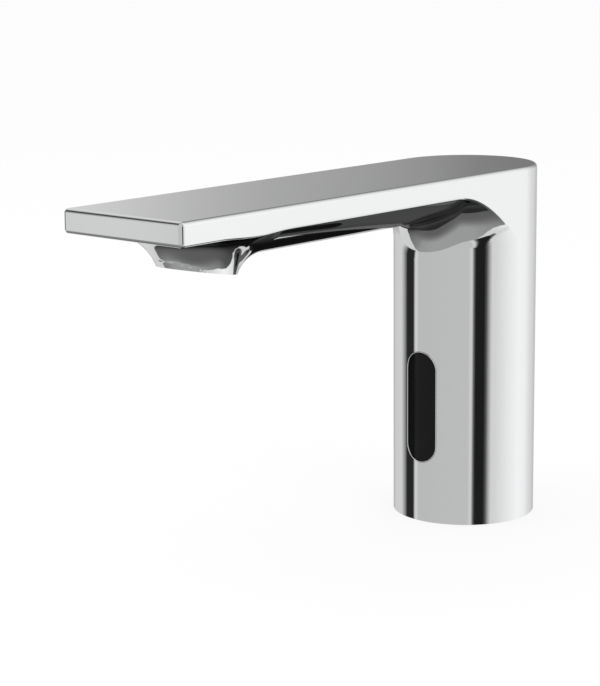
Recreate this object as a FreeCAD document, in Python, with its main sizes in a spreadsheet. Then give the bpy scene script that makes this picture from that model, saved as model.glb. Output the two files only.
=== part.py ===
"""Sensor tap for a basin: a chromed casting with its sensor, valve, waterway and outlet insert inside.

Millimetres. The column's axis is Z, the deck is z = 0, and the spout runs forward along -Y.
"""

import FreeCAD, Part
import Sketcher
import math
import operator
import os

Vector = FreeCAD.Vector

# ------------------------------------------------------------------ sizes

DIMENSIONS = {
    # the casting's outside
    "column_radius": 25.0,
    "total_height": 124.0,
    "spout_reach": 166.5,
    "plate_thickness": 7.7,
    "edge_round": 1.4,
    "cusp_relief": 0.02,
    "cusp_relief_width": 0.6,
    "keel_inset": 1.6,
    "keel_sag": 9.7,
    "root_blend": 14.0,
    "plate_blend": 18.5,
    "outlet_reach": 134.7,
    "boss_radius": 11.6,
    "boss_plate_blend": 16.9,
    "boss_keel_blend": 11.0,
    "keel_nose_setback": 14.0,
    "outlet_drop": 20.45,
    "outlet_tilt": 10.0,
    # the casting's inside
    "column_wall": 3.2,
    "ceiling_height": 100.5,
    "waterway_wall": 3.2,
    "waterway_half_width": 14.0,
    "waterway_top_wall": 3.8,
    "waterway_land": 4.0,
    "feed_hole_radius": 2.9,
    "feed_rise": 1.5,
    "lug_inner": 9.6,
    "lug_depth": 8.0,
    "lug_height": 16.0,
    # the sensor window
    "window_width": 12.3,
    "window_height": 39.1,
    "window_middle": 40.85,
    "window_recess": 0.35,
    "window_gap": 0.12,
    "flange_margin": 1.7,
    "gasket_thickness": 0.8,
    "window_back": 18.2,
    # the sensor
    "housing_half_width": 8.4,
    "housing_back": 8.0,
    "housing_wall": 1.2,
    "housing_margin": 1.9,
    "board_thickness": 1.6,
    "board_gap": 0.3,
    "chip_half_width": 2.4,
    "chip_height": 1.0,
    "chip_part": 1.0,
    "can_radius": 1.5,
    "can_height": 2.6,
    "can_x": 4.6,
    "diode_radius": 2.5,
    "diode_spacing": 16.0,
    "diode_dome": 1.2,
    "barrel_depth": 4.6,
    "barrel_setback": 1.4,
    "barrel_leg": 2.4,
    "clip_thickness": 1.2,
    "clip_height": 34.0,
    "clip_half_span": 17.2,
    # the foot
    "foot_plate_thickness": 10.0,
    "foot_inset": 0.2,
    "foot_gap": 0.1,
    "seal_width": 3.2,
    "seal_height": 2.6,
    "foot_screw_x": 13.5,
    "foot_screw_y": -4.0,
    "foot_screw_radius": 2.0,
    "foot_screw_head": 3.5,
    "foot_screw_head_height": 3.0,
    "foot_screw_grip": 9.0,
    "clip_screw_radius": 1.5,
    "clip_screw_head": 2.8,
    "clip_screw_head_height": 2.0,
    "clip_screw_grip": 5.0,
    "screw_gap": 0.05,
    "stud_radius": 4.0,
    "thread_depth": 0.5,
    "stud_forward": 8.0,
    "gland_x": -12.5,
    "gland_y": 5.0,
    "gland_radius": 3.0,
    "gland_bore": 1.6,
    "gland_flange": 4.2,
    "gland_flange_height": 1.5,
    # the inlet
    "inlet_y": 11.5,
    "inlet_sleeve_radius": 6.2,
    "inlet_thread_radius": 5.0,
    "inlet_thread_depth": 10.0,
    "inlet_throat": 3.6,
    "inlet_flange_radius": 8.0,
    "inlet_flange_height": 3.0,
    "inlet_body_radius": 7.2,
    "inlet_body_top": 40.0,
    "inlet_bore": 5.6,
    "inlet_bore_floor": 14.0,
    "fit_gap": 0.1,
    "strainer_height": 2.0,
    "strainer_rim": 0.9,
    "strainer_sheet": 0.5,
    "strainer_hole": 0.4,
    "check_length": 13.0,
    "check_bore": 3.6,
    "check_port": 2.6,
    "check_floor": 1.6,
    "check_guide_thickness": 1.6,
    "check_stem": 0.9,
    "check_stem_reach": 1.2,
    "check_head": 3.1,
    "check_head_height": 1.5,
    "check_wire": 0.25,
    "check_spring_radius": 1.75,
    "check_spring_turns": 6.0,
    # the riser
    "riser_radius": 4.0,
    "riser_bore": 2.6,
    "riser_seat_gap": 0.2,
    "riser_foot_length": 10.0,
    "riser_head_length": 8.3,
    "riser_clear": 0.2,
    "ring_groove": 2.0,
    "ring_section": 0.75,
    "ring_depth": 1.6,
    # the valve
    "valve_forward": 6.8,
    "valve_body_height": 12.0,
    "valve_half_width": 11.6,
    "valve_corner": 3.0,
    "valve_screw_offset": 9.0,
    "valve_screw_radius": 1.5,
    "valve_screw_head": 2.6,
    "valve_screw_head_height": 1.6,
    "valve_screw_bite": 7.0,
    "seat_bore": 3.4,
    "seat_radius": 4.7,
    "seat_gap": 0.3,
    "chamber_radius": 8.6,
    "chamber_depth": 6.5,
    "spigot_radius": 6.1,
    "spigot_length": 8.5,
    "spigot_ring_height": 3.5,
    "port_boss_radius": 6.5,
    "port_boss_drop": 17.5,
    "port_throat": 2.6,
    "port_throat_rise": 2.6,
    "diaphragm_radius": 10.4,
    "diaphragm_thickness": 1.0,
    "diaphragm_hole": 2.0,
    "plate_radius": 6.4,
    "pilot_plate_thickness": 1.1,
    "pilot_hole": 0.6,
    "pilot_hub": 1.9,
    "pilot_hub_rise": 0.9,
    "pilot_travel": 1.2,
    "pilot_floor_gap": 0.1,
    "pilot_chamber_radius": 8.4,
    "cover_floor": 3.0,
    "core_flange_radius": 5.5,
    "core_flange_height": 1.4,
    "core_radius": 3.8,
    "core_bore": 3.1,
    "core_length": 21.8,
    "core_pole": 5.0,
    "plunger_gap": 0.1,
    "plunger_tip": 1.2,
    "plunger_shoulder": 1.8,
    "plunger_pocket": 1.9,
    "plunger_pocket_depth": 6.0,
    "spring_gap": 0.02,
    "pole_gap": 1.6,
    "plunger_wire": 0.3,
    "plunger_spring_radius": 1.5,
    "plunger_spring_turns": 6.0,
    # the coil
    "yoke_thickness": 1.5,
    "yoke_half_width": 10.2,
    "yoke_half_depth": 6.0,
    "yoke_gap": 0.1,
    "bobbin_height": 14.0,
    "bobbin_flange": 8.0,
    "bobbin_flange_height": 1.0,
    "bobbin_wall": 0.7,
    "winding_radius": 7.6,
    "winding_gap": 0.1,
    "coil_nut_radius": 5.6,
    "coil_nut_height": 1.4,
    "socket_half_width": 3.0,
    "socket_depth": 3.2,
    "socket_height": 3.0,
    "lead_radius": 1.1,
    # the screws that hold the valve up
    "ear_reach": 19.0,
    "ear_height": 6.0,
    "ear_depth": 8.0,
    "ear_x": 15.5,
    "ear_y": -2.0,
    "mount_screw_bite": 7.0,
    # the outlet insert
    "outlet_bore": 10.75,
    "outlet_bore_depth": 9.5,
    "outlet_throat": 9.0,
    "outlet_throat_depth": 13.0,
    "insert_recess": 0.6,
    "insert_wall": 2.0,
    "insert_lip": 0.9,
    "insert_lip_height": 0.6,
    "washer_thickness": 0.5,
    "washer_width": 1.8,
    "jet_disc_height": 2.2,
    "jet_hole": 0.72,
    "jet_pitch": 1.95,
    "screen_height": 0.5,
    "mixer_height": 2.4,
    "regulator_height": 2.6,
    "regulator_hub": 2.4,
    "regulator_rim": 1.4,
    "regulator_dish": 1.2,
    "regulator_port": 0.9,
    "regulator_port_ring": 4.4,
    "mixer_pitch": 2.6,
    "mixer_chamfer": 1.2,
    "mixer_bevel": 0.8,
    "screen_pitch": 1.15,
    "insert_fit": 0.1,
    "key_slot_width": 2.0,
}

doc = FreeCAD.newDocument("sensor_tap")
sheet = doc.addObject("Spreadsheet::Sheet", "Sizes")


class Size:
    """A length with its value and the sheet expression that gives it."""

    def __init__(self, value, text):
        self.value = float(value)
        self.text = text

    def __add__(self, other):
        return combined(self, "+", other)

    def __radd__(self, other):
        return combined(other, "+", self)

    def __sub__(self, other):
        return combined(self, "-", other)

    def __rsub__(self, other):
        return combined(other, "-", self)

    def __mul__(self, other):
        return combined(self, "*", other)

    def __rmul__(self, other):
        return combined(other, "*", self)

    def __truediv__(self, other):
        return combined(self, "/", other)

    def __neg__(self):
        return combined(0, "-", self)


SIGNS = {"+": operator.add, "-": operator.sub, "*": operator.mul, "/": operator.truediv}


def as_size(number):
    if isinstance(number, Size):
        return number
    return Size(number, repr(float(number)))


def combined(left, sign, right):
    left = as_size(left)
    right = as_size(right)
    value = SIGNS[sign](left.value, right.value)
    return Size(value, "(" + left.text + " " + sign + " " + right.text + ")")


class Sizes:
    """Each dimension as a cell of the sheet, read by its name."""


size = Sizes()
for row, (name, number) in enumerate(DIMENSIONS.items(), start=1):
    cell = "B" + str(row)
    sheet.set("A" + str(row), name)
    sheet.set(cell, str(number))
    sheet.setAlias(cell, name)
    setattr(size, name, Size(number, "Sizes." + name))
doc.recompute()

# ------------------------------------------------------------------ tools

UPRIGHT = FreeCAD.Rotation()
FORWARD = FreeCAD.Rotation(Vector(1, 0, 0), 90)


def bind(piece, field, number):
    piece.setExpression(field, as_size(number).text)


def place(piece, x=0, y=0, z=0, turn=UPRIGHT):
    spot = [as_size(number) for number in (x, y, z)]
    piece.Placement = FreeCAD.Placement(Vector(*[number.value for number in spot]), turn)
    for axis, number in zip("xyz", spot):
        bind(piece, "Placement.Base." + axis, number)


def box(name, x, y, z):
    """A block between the low and high ends of x, y and z."""
    piece = doc.addObject("Part::Box", name)
    for field, (low, high) in zip(("Length", "Width", "Height"), (x, y, z)):
        bind(piece, field, as_size(high) - low)
    place(piece, x[0], y[0], z[0])
    return piece


def drum(name, radius, z, x=0, y=0):
    """An upright cylinder between two heights."""
    piece = doc.addObject("Part::Cylinder", name)
    bind(piece, "Radius", radius)
    bind(piece, "Height", as_size(z[1]) - z[0])
    place(piece, x, y, z[0])
    return piece


def rod(name, radius, y, x=0, z=0):
    """A cylinder that lies along Y between two places."""
    piece = doc.addObject("Part::Cylinder", name)
    bind(piece, "Radius", radius)
    bind(piece, "Height", as_size(y[1]) - y[0])
    place(piece, x, y[1], z, FORWARD)
    return piece


def ring(name, radius, section, z, x=0, y=0):
    """A round-sectioned ring that lies flat."""
    piece = doc.addObject("Part::Torus", name)
    bind(piece, "Radius1", radius)
    bind(piece, "Radius2", section)
    place(piece, x, y, z)
    return piece


def fused(name, *shapes):
    piece = doc.addObject("Part::MultiFuse", name)
    piece.Shapes = list(shapes)
    piece.Refine = True
    return piece


def common(name, base, tool):
    piece = doc.addObject("Part::Common", name)
    piece.Base = base
    piece.Tool = tool
    return piece


def cut(name, base, *tools):
    piece = doc.addObject("Part::Cut", name)
    piece.Base = base
    piece.Tool = tools[0] if len(tools) == 1 else fused(name + "_tools", *tools)
    return piece


def rounded(name, base, radius, wanted):
    """The base with each edge that wanted() accepts rounded."""
    doc.recompute()
    piece = doc.addObject("Part::Fillet", name)
    piece.Base = base
    edges = enumerate(base.Shape.Edges, start=1)
    piece.Edges = [(number, radius.value, radius.value) for number, edge in edges if wanted(edge)]
    return piece


def outline(body, name, plane, points):
    """A closed sketch of straight sides whose corners are bound to the sheet."""
    sketch = body.newObject("Sketcher::SketchObject", name)
    origin = [item for item in body.Origin.OriginFeatures if item.Role == plane][0]
    sketch.AttachmentSupport = [(origin, "")]
    sketch.MapMode = "FlatFace"
    corners = [(as_size(u), as_size(v)) for u, v in points]
    spots = [Vector(u.value, v.value, 0) for u, v in corners]
    for index, spot in enumerate(spots):
        sketch.addGeometry(Part.LineSegment(spot, spots[(index + 1) % len(spots)]), False)
    for index in range(len(spots)):
        follower = (index + 1) % len(spots)
        sketch.addConstraint(Sketcher.Constraint("Coincident", index, 2, follower, 1))
    for index, corner in enumerate(corners):
        for kind, axis, number in zip(("DistanceX", "DistanceY"), (-2, -1), corner):
            if number.text == "0.0":
                sketch.addConstraint(Sketcher.Constraint("PointOnObject", index, 1, axis))
                continue
            rule = Sketcher.Constraint(kind, -1, 1, index, 1, number.value)
            place_in_list = sketch.addConstraint(rule)
            bind(sketch, "Constraints[" + str(place_in_list) + "]", number)
    return sketch


def turned(name, points, x=0, y=0, z=0, turn=UPRIGHT):
    """A turned piece: radius and height pairs, spun about the upright axis."""
    body = doc.addObject("PartDesign::Body", name)
    sketch = outline(body, name + "_profile", "XZ_Plane", points)
    spin = body.newObject("PartDesign::Revolution", name + "_spin")
    spin.Profile = sketch
    spin.ReferenceAxis = (sketch, ["V_Axis"])
    spin.Angle = 360.0
    body.Tip = spin
    place(body, x, y, z, turn)
    return body


def coiled(name, radius, wire, turns, z, x=0, y=0):
    """A helical spring with one unbroken wire between two heights."""
    body = doc.addObject("PartDesign::Body", name)
    sketch = body.newObject("Sketcher::SketchObject", name + "_section")
    origin = [item for item in body.Origin.OriginFeatures if item.Role == "XZ_Plane"][0]
    sketch.AttachmentSupport = [(origin, "")]
    sketch.MapMode = "FlatFace"
    sketch.addGeometry(Part.Circle(Vector(radius.value, 0, 0), Vector(0, 0, 1), wire.value), False)
    sketch.addConstraint(Sketcher.Constraint("PointOnObject", 0, 3, -1))
    reach = sketch.addConstraint(Sketcher.Constraint("DistanceX", -1, 1, 0, 3, radius.value))
    bind(sketch, "Constraints[" + str(reach) + "]", radius)
    thick = sketch.addConstraint(Sketcher.Constraint("Radius", 0, wire.value))
    bind(sketch, "Constraints[" + str(thick) + "]", wire)
    rise = as_size(z[1]) - z[0] - 2 * wire
    helix = body.newObject("PartDesign::AdditiveHelix", name + "_helix")
    helix.Profile = sketch
    helix.ReferenceAxis = (sketch, ["V_Axis"])
    helix.Mode = 1
    bind(helix, "Pitch", rise / turns)
    bind(helix, "Height", rise)
    bind(helix, "Turns", turns)
    body.Tip = helix
    place(body, x, y, z[0] + wire)
    return body


def stadium(name, half_width, z, y):
    """A prism along Y whose section is an upright stadium."""
    low = z[0] + half_width
    high = z[1] - half_width
    middle = box(name + "_middle", (-half_width, half_width), y, (low, high))
    ends = [rod(name + "_end_" + str(n), half_width, y, z=level) for n, level in enumerate((low, high))]
    return fused(name, middle, *ends)


PIECES = []


def finished(piece, name=None):
    """Keeps the piece as a sub-part under its own name."""
    piece.Label = name or piece.Name
    PIECES.append(piece)
    return piece


# ------------------------------------------------------------------ places that several pieces share

top = size.total_height
plate_under = top - size.plate_thickness
keel_bottom = plate_under - size.keel_sag
keel_half_width = size.column_radius - size.keel_inset
keel_radius = (keel_half_width * keel_half_width + size.keel_sag * size.keel_sag) / (2 * size.keel_sag)
keel_axis = keel_bottom + keel_radius
boss_y = -size.outlet_reach
rim_height = top - size.outlet_drop
cavity_radius = size.column_radius - size.column_wall
ceiling = size.ceiling_height

foot_top = size.foot_plate_thickness
lug_top = foot_top + size.lug_height
window_half = size.window_width / 2
window_low = size.window_middle - size.window_height / 2
window_high = size.window_middle + size.window_height / 2
flange_half = window_half + size.flange_margin
flange_low = window_low - size.flange_margin
flange_high = window_high + size.flange_margin
housing_low = window_low - size.housing_margin
housing_high = window_high + size.housing_margin

valve_y = -size.valve_forward
valve_under = ceiling - size.valve_body_height
spigot_bore = size.spigot_radius + size.fit_gap

OUTLET_TURN = FreeCAD.Rotation(Vector(1, 0, 0), -size.outlet_tilt.value)


# ------------------------------------------------------------------ the casting

def lies_on_drum(edge, radius, y, low, high):
    """True for an edge all of whose points lie on an upright cylinder between two heights."""
    first = edge.FirstParameter
    step = (edge.LastParameter - first) / 6
    points = [edge.valueAt(first + step * k) for k in range(7)]
    on_wall = all(abs(math.hypot(p.x, p.y - y) - radius) < 0.02 for p in points)
    return on_wall and min(p.z for p in points) > low and max(p.z for p in points) < high


def is_plate_edge(edge):
    """True for the plate's outline above, in front and below, and for the arch where the root meets a side."""
    bounds = edge.BoundBox
    on_top = bounds.ZMin > top.value - 0.01
    in_front = bounds.YMax < -size.spout_reach.value + 0.01
    on_side = abs(bounds.XMin - bounds.XMax) < 0.01 and abs(abs(bounds.XMin) - size.column_radius.value) < 0.01
    below = bounds.ZMax < plate_under.value + 0.01 and bounds.YMin < -1
    return on_top or in_front or (on_side and below)


def keel():
    """The round keel: a lying cylinder with a ball nose, cut off level with the spout's top."""
    back = size.column_radius + 2 * size.root_blend
    nose_y = boss_y + size.keel_nose_setback
    barrel = rod("keel_barrel", keel_radius, (nose_y, back), z=keel_axis)
    nose = doc.addObject("Part::Sphere", "keel_nose")
    bind(nose, "Radius", keel_radius)
    place(nose, y=nose_y, z=keel_axis)
    room = box("keel_room", (-2 * keel_radius, 2 * keel_radius), (nose_y - keel_radius, back),
               (keel_bottom - 1, top))
    return common("keel", fused("keel_whole", barrel, nose), room)


def blend(name, base, post, radius, post_radius, post_y, low, high, room):
    """The post joined to what lies over it by a hollow round, kept only within a room."""
    joined = fused(name + "_joined", base, post)
    joined = rounded(
        name + "_rounded", joined, radius,
        lambda edge: lies_on_drum(edge, post_radius.value, post_y.value, low, high),
    )
    return common(name, joined, box(name + "_room", *room))


def outside():
    """The casting before it is hollowed: a plate as wide as the column, the keel and the outlet boss.

    Where the arch's rounding runs out to a cusp on the column's side, a shallow relief ends it cleanly.
    """
    half = size.column_radius
    reach = size.spout_reach
    lid = top - size.plate_thickness / 2
    join = boss_y / 2
    slab = box("plate_slab", (-half, half), (-reach, 0), (plate_under, top))
    column = drum("column", half, (0, top))
    waterway = keel()
    sheet_above = box("sheet_above", (-4 * half, 4 * half), (-2 * reach, 4 * half), (plate_under, top))
    post = drum("root_post", half, (0, lid))
    boss = drum("boss_post", size.boss_radius, (rim_height - size.boss_plate_blend, lid), y=boss_y)
    side_rise = keel_axis.value - math.sqrt(keel_radius.value ** 2 - half.value ** 2)
    under = plate_under.value
    lowest = keel_bottom.value - 1
    axis = as_size(0)
    root_room = ((-half, half), (join - 5, 0), (0, lid))
    boss_room = ((-half, half), (-reach, join), (0, top))
    keel_room = ((size.edge_round - half, half - size.edge_round), (-reach, join), (0, lid))
    parts = [
        blend("root_to_plate", sheet_above, post, size.plate_blend, half, axis, under - 0.1, under + 0.1,
              ((-half, half), (join - 5, 0), (0, top))),
        blend("root_to_keel", waterway, post, size.root_blend, half, axis, lowest, side_rise + 0.5,
              root_room),
        blend("boss_to_plate", sheet_above, boss, size.boss_plate_blend, size.boss_radius, boss_y,
              under - 0.1,
              under + 0.1, boss_room),
        blend("boss_to_keel", waterway, boss, size.boss_keel_blend, size.boss_radius, boss_y, lowest + 1.1,
              lid.value - 0.1, keel_room),
    ]
    whole = fused("outside_whole", slab, column, *parts)
    whole = rounded("outside_rounded", whole, size.edge_round, is_plate_edge)
    reach_down = 2 * size.boss_plate_blend
    below = box("below_outlet", (-reach_down, reach_down), (0, 2 * reach_down), (0, reach_down))
    corner = OUTLET_TURN.multVec(Vector(0, -1, -1))
    place(below, -reach_down, boss_y + reach_down * corner.y, rim_height + reach_down * corner.z,
          OUTLET_TURN)
    cusp_z = plate_under - size.plate_blend
    deep = size.cusp_relief
    wide = size.cusp_relief_width / 2
    reliefs = [
        box("cusp_relief_left", (-half - 1, deep - half), (-wide, wide), (cusp_z - wide, cusp_z + wide)),
        box("cusp_relief_right", (half - deep, half + 1), (-wide, wide), (cusp_z - wide, cusp_z + wide)),
    ]
    return cut("outside", whole, below, *reliefs)


# ------------------------------------------------------------------ the casting, hollowed

outlet_up = OUTLET_TURN.multVec(Vector(0, 0, 1))


def seated_in_outlet(piece, depth):
    """Moves a piece to a depth in the outlet's slanted bore, measured from the rim."""
    depth = as_size(depth)
    place(piece, 0, boss_y + depth * outlet_up.y, rim_height + depth * outlet_up.z, OUTLET_TURN)
    return piece


def outlet_drum(name, radius, low, high):
    piece = doc.addObject("Part::Cylinder", name)
    bind(piece, "Radius", radius)
    bind(piece, "Height", as_size(high) - low)
    return seated_in_outlet(piece, low)


def waterway_core():
    """The cored channel in the spout: flat above, round below like the keel."""
    front = boss_y + size.outlet_bore + size.waterway_land
    back = valve_y + spigot_bore + size.waterway_wall
    half = size.waterway_half_width
    room = box("waterway_room", (-half, half), (front, back),
               (keel_bottom, top - size.waterway_top_wall))
    floor = rod("waterway_round", keel_radius - size.waterway_wall, (front, back), z=keel_axis)
    core = common("waterway_core", room, floor)
    feed = rod("outlet_feed", size.feed_hole_radius, (boss_y, front + 1),
               z=rim_height + size.outlet_bore_depth + size.feed_rise)
    socket = drum("valve_socket", spigot_bore, (ceiling - 1, keel_bottom + size.waterway_wall + 1),
                  y=valve_y)
    return [core, feed, socket]


def tap_body():
    """The chromed brass casting."""
    cavity = drum("cavity", cavity_radius, (-1, ceiling))
    window = stadium("window_opening", window_half, (window_low, window_high),
                     (-size.column_radius - 1, -cavity_radius / 2))
    bore = outlet_drum("outlet_bore_cut", size.outlet_bore, -2 * size.insert_recess - 1,
                       size.outlet_bore_depth)
    throat = outlet_drum("outlet_throat_cut", size.outlet_throat, 0, size.outlet_throat_depth)
    hollow = cut("hollowed", outside(), cavity, window, bore, throat, *waterway_core())
    lugs = []
    for side in (-1, 1):
        ends = sorted((side * size.lug_inner, side * (size.column_radius - 1)),
                      key=lambda number: number.value)
        middle = as_size(size.foot_screw_y)
        block = box("lug_block_" + str(side + 1), ends, (middle - size.lug_depth / 2,
                                                         middle + size.lug_depth / 2),
                    (foot_top, lug_top))
        lugs.append(common("lug_" + str(side + 1), block,
                           drum("lug_round_" + str(side + 1), cavity_radius + size.column_wall / 2,
                                (foot_top, lug_top))))
    solid = fused("hollowed_with_lugs", hollow, *lugs)
    holes = []
    for side in (-1, 1):
        x = side * size.foot_screw_x
        mount_x = side * size.ear_x
        tag = str(side + 1)
        holes.append(drum("foot_hole_" + tag, size.foot_screw_radius + size.screw_gap,
                          (foot_top - 1, foot_top + size.foot_screw_grip + 0.5), x, size.foot_screw_y))
        holes.append(drum("clip_hole_" + tag, size.clip_screw_radius + size.screw_gap,
                          (lug_top - size.clip_screw_grip - 0.5, lug_top + 1), x, size.foot_screw_y))
        holes.append(drum("mount_hole_" + tag, size.foot_screw_radius + size.screw_gap,
                          (ceiling - 1, ceiling + size.mount_screw_bite + 0.5), mount_x, size.ear_y))
    return cut("tap_body", solid, *holes)


# ------------------------------------------------------------------ the sensor

def sensor_window():
    """Black clear window: a stadium flush with the column, with a flange behind the wall."""
    face = size.column_radius - size.window_recess
    gap = size.window_gap
    front = common(
        "window_front",
        stadium("window_plug", window_half - gap, (window_low + gap, window_high - gap),
                (-size.column_radius, -size.window_back)),
        drum("window_face", face, (0, lug_top + size.window_height)),
    )
    back = common(
        "window_flange",
        stadium("flange_plug", flange_half, (flange_low, flange_high), (-size.column_radius,
        -size.window_back)),
        drum("flange_face", cavity_radius - size.gasket_thickness, (0, lug_top + size.window_height)),
    )
    return fused("sensor_window", front, back)


def window_gasket():
    """Rubber frame pressed between the window's flange and the column's inner wall."""
    gap = size.window_gap
    plug = stadium("gasket_plug", flange_half, (flange_low, flange_high), (-size.column_radius,
            -size.window_back))
    wall = drum("gasket_face", cavity_radius - gap / 2, (0, lug_top + size.window_height))
    core = drum("gasket_back", cavity_radius - size.gasket_thickness + gap / 2, (-1,
            lug_top + size.window_height + 1))
    hole = stadium("gasket_hole", window_half, (window_low, window_high), (-size.column_radius - 1, 0))
    return cut("window_gasket", common("gasket_sheet", plug, wall), core, hole)


def sensor_housing():
    """Plastic box behind the window, open to the front, with a lead outlet on top."""
    wall = size.housing_wall
    half = size.housing_half_width
    back = -size.housing_back
    front = -size.window_back
    shell = box("housing_block", (-half, half), (front, back), (housing_low, housing_high))
    inner = box("housing_inner", (wall - half, half - wall), (front - 1, back - wall),
                (housing_low + wall, housing_high - wall))
    lead = drum("housing_lead_hole", size.lead_radius + size.fit_gap, (housing_high - wall - 1,
            housing_high + 1),
                y=socket_y)
    return cut("sensor_housing", shell, inner, lead)


board_back = -size.housing_back - size.housing_wall
board_front = board_back - size.board_thickness
barrel_front = -size.window_back + size.barrel_setback
barrel_back = barrel_front + size.barrel_depth
board_half = size.housing_half_width - size.housing_wall - size.board_gap
board_low = housing_low + size.housing_wall + size.board_gap
board_high = housing_high - size.housing_wall - size.board_gap
sender_z = size.window_middle + size.diode_spacing / 2
receiver_z = size.window_middle - size.diode_spacing / 2
socket_y = valve_y - size.bobbin_flange - size.socket_depth / 2


def sensor_board():
    """Circuit board against the housing's back, with its chip, two cans, a connector and a row of chip parts."""
    middle = size.window_middle
    pieces = [box("board_sheet", (-board_half, board_half), (board_front, board_back), (board_low,
            board_high))]
    half = size.chip_half_width
    pieces.append(box("board_chip", (-half, half), (board_front - size.chip_height, board_front),
                      (middle - half, middle + half)))
    for side in (-1, 1):
        pieces.append(rod("board_can_" + str(side + 1), size.can_radius, (board_front - size.can_height,
                board_front),
                          x=side * size.can_x, z=board_high - size.can_radius - size.board_gap))
    half = size.socket_half_width
    pieces.append(box("board_connector", (-half, half), (board_front - size.can_height, board_front),
                      (board_low + size.board_gap, board_low + size.board_gap + size.socket_height)))
    part = size.chip_part
    row = middle - 3 * size.chip_half_width
    for index in range(-2, 3):
        pieces.append(box("board_part_" + str(index + 2), (2 * index * part - part / 2,
                                                           2 * index * part + part / 2),
                          (board_front - part / 2, board_front), (row, row + part)))
    return fused("sensor_board", *pieces)


def optics_holder():
    """Dark block with a barrel for each diode and a leg at each end that stands on the board."""
    half = board_half - size.board_gap
    low = receiver_z - size.diode_radius - 2 * size.barrel_leg
    high = sender_z + size.diode_radius + 2 * size.barrel_leg
    block = box("optics_block", (-half, half), (barrel_front, barrel_back), (low, high))
    legs = [
        box("optics_leg_low", (-half, half), (barrel_back - 0.5, board_front), (low,
        low + size.barrel_leg)),
        box("optics_leg_high", (-half, half), (barrel_back - 0.5, board_front), (high - size.barrel_leg,
        high)),
    ]
    barrels = [rod("barrel_" + str(n), size.diode_radius + size.fit_gap, (barrel_front - 1,
            barrel_back + 1), z=level)
               for n, level in enumerate((sender_z, receiver_z))]
    return cut("optics_holder", fused("optics_solid", block, *legs), *barrels)


def diode(name, level):
    """A 5 mm diode that looks forward: round body, domed nose and two wires to the board."""
    radius = size.diode_radius
    length = size.barrel_depth - size.diode_dome
    points = [(0, 0), (radius, 0), (radius, length), (radius * 0.8, length + size.diode_dome * 0.6),
              (radius * 0.4, length + size.diode_dome * 0.9), (0, length + size.diode_dome)]
    body = turned(name + "_body", points, 0, barrel_back, level, FORWARD)
    wires = [rod(name + "_wire_" + str(n), 0.25, (barrel_back - 0.5, board_front), x=x, z=level)
             for n, x in enumerate((-1.27, 1.27))]
    return fused(name, body, *wires)


def sensor_clip():
    """Steel bracket: its upright sheet presses the housing forward, its foot is screwed to the lugs."""
    thick = size.clip_thickness
    back = -size.housing_back
    half = size.housing_half_width
    upright = box("clip_upright", (-half, half), (back, back + thick), (lug_top,
            lug_top + size.clip_height))
    foot = box("clip_foot", (-size.clip_half_span, size.clip_half_span), (back, back + size.lug_depth),
               (lug_top, lug_top + thick))
    holes = [drum("clip_foot_hole_" + str(side + 1), size.clip_screw_radius + size.fit_gap,
                  (lug_top - 1, lug_top + thick + 1), side * size.foot_screw_x, size.foot_screw_y)
             for side in (-1, 1)]
    return cut("sensor_clip", fused("clip_solid", upright, foot), *holes)


def headed_screw(name, x, y, under_head, radius, head, head_height, grip, points_up=True):
    """A cap screw with a hexagon socket; it points up or down from the face under its head."""
    points = [(0, -head_height), (head, -head_height), (head, 0), (radius, 0), (radius, grip), (0, grip)]
    turn = UPRIGHT if points_up else FreeCAD.Rotation(Vector(1, 0, 0), 180)
    shank = turned(name + "_shank", points, x, y, under_head, turn)
    key = doc.addObject("Part::Prism", name + "_key")
    key.Polygon = 6
    bind(key, "Circumradius", head * 0.5)
    bind(key, "Height", head_height * 0.6 + 1)
    low = -head_height - 1 if points_up else head_height * 0.4
    place(key, x, y, under_head + low)
    return cut(name, shank, key)


def screw_pair(name, x, y, under_head, radius, head, head_height, grip, points_up=True):
    screws = [headed_screw(name + "_" + str(side + 1), side * x, y, under_head, radius, head, head_height,
                           grip,
                           points_up) for side in (-1, 1)]
    return grouped(name, screws)


def grouped(name, pieces):
    """Several separate solids kept as one sub-part."""
    whole = doc.addObject("Part::Compound", name)
    whole.Links = list(pieces)
    return whole


# ------------------------------------------------------------------ the foot

foot_radius = cavity_radius - size.foot_gap


def base_plate():
    """Brass plate that closes the column's foot and takes the stud, the inlet and the lead."""
    inner = foot_radius - size.seal_width
    disc = turned("foot_disc", [(0, 0), (inner, 0), (inner, size.seal_height),
                                (foot_radius, size.seal_height), (foot_radius, foot_top), (0, foot_top)])
    holes = [
        drum("stud_hole", size.stud_radius - size.thread_depth, (-1, foot_top + 1), y=-size.stud_forward),
        drum("inlet_hole", size.inlet_sleeve_radius + size.fit_gap, (-1, foot_top + 1), y=size.inlet_y),
        drum("gland_hole", size.gland_radius + size.fit_gap, (-1, foot_top + 1), size.gland_x,
             size.gland_y),
    ]
    for side in (-1, 1):
        x = side * size.foot_screw_x
        tag = str(side + 1)
        holes.append(drum("foot_clear_" + tag, size.foot_screw_radius + size.fit_gap, (-1, foot_top + 1), x,
                          size.foot_screw_y))
        holes.append(drum("foot_sink_" + tag, size.foot_screw_head + size.fit_gap, (-1, foot_head_top), x,
                          size.foot_screw_y))
    return cut("base_plate", disc, *holes)


foot_head_top = size.foot_inset + size.foot_screw_head_height


def deck_seal():
    inner = foot_radius - size.seal_width + size.fit_gap
    return turned("deck_seal", [(inner, 0), (foot_radius, 0), (foot_radius, size.seal_height),
                                (inner, size.seal_height)])


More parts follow.
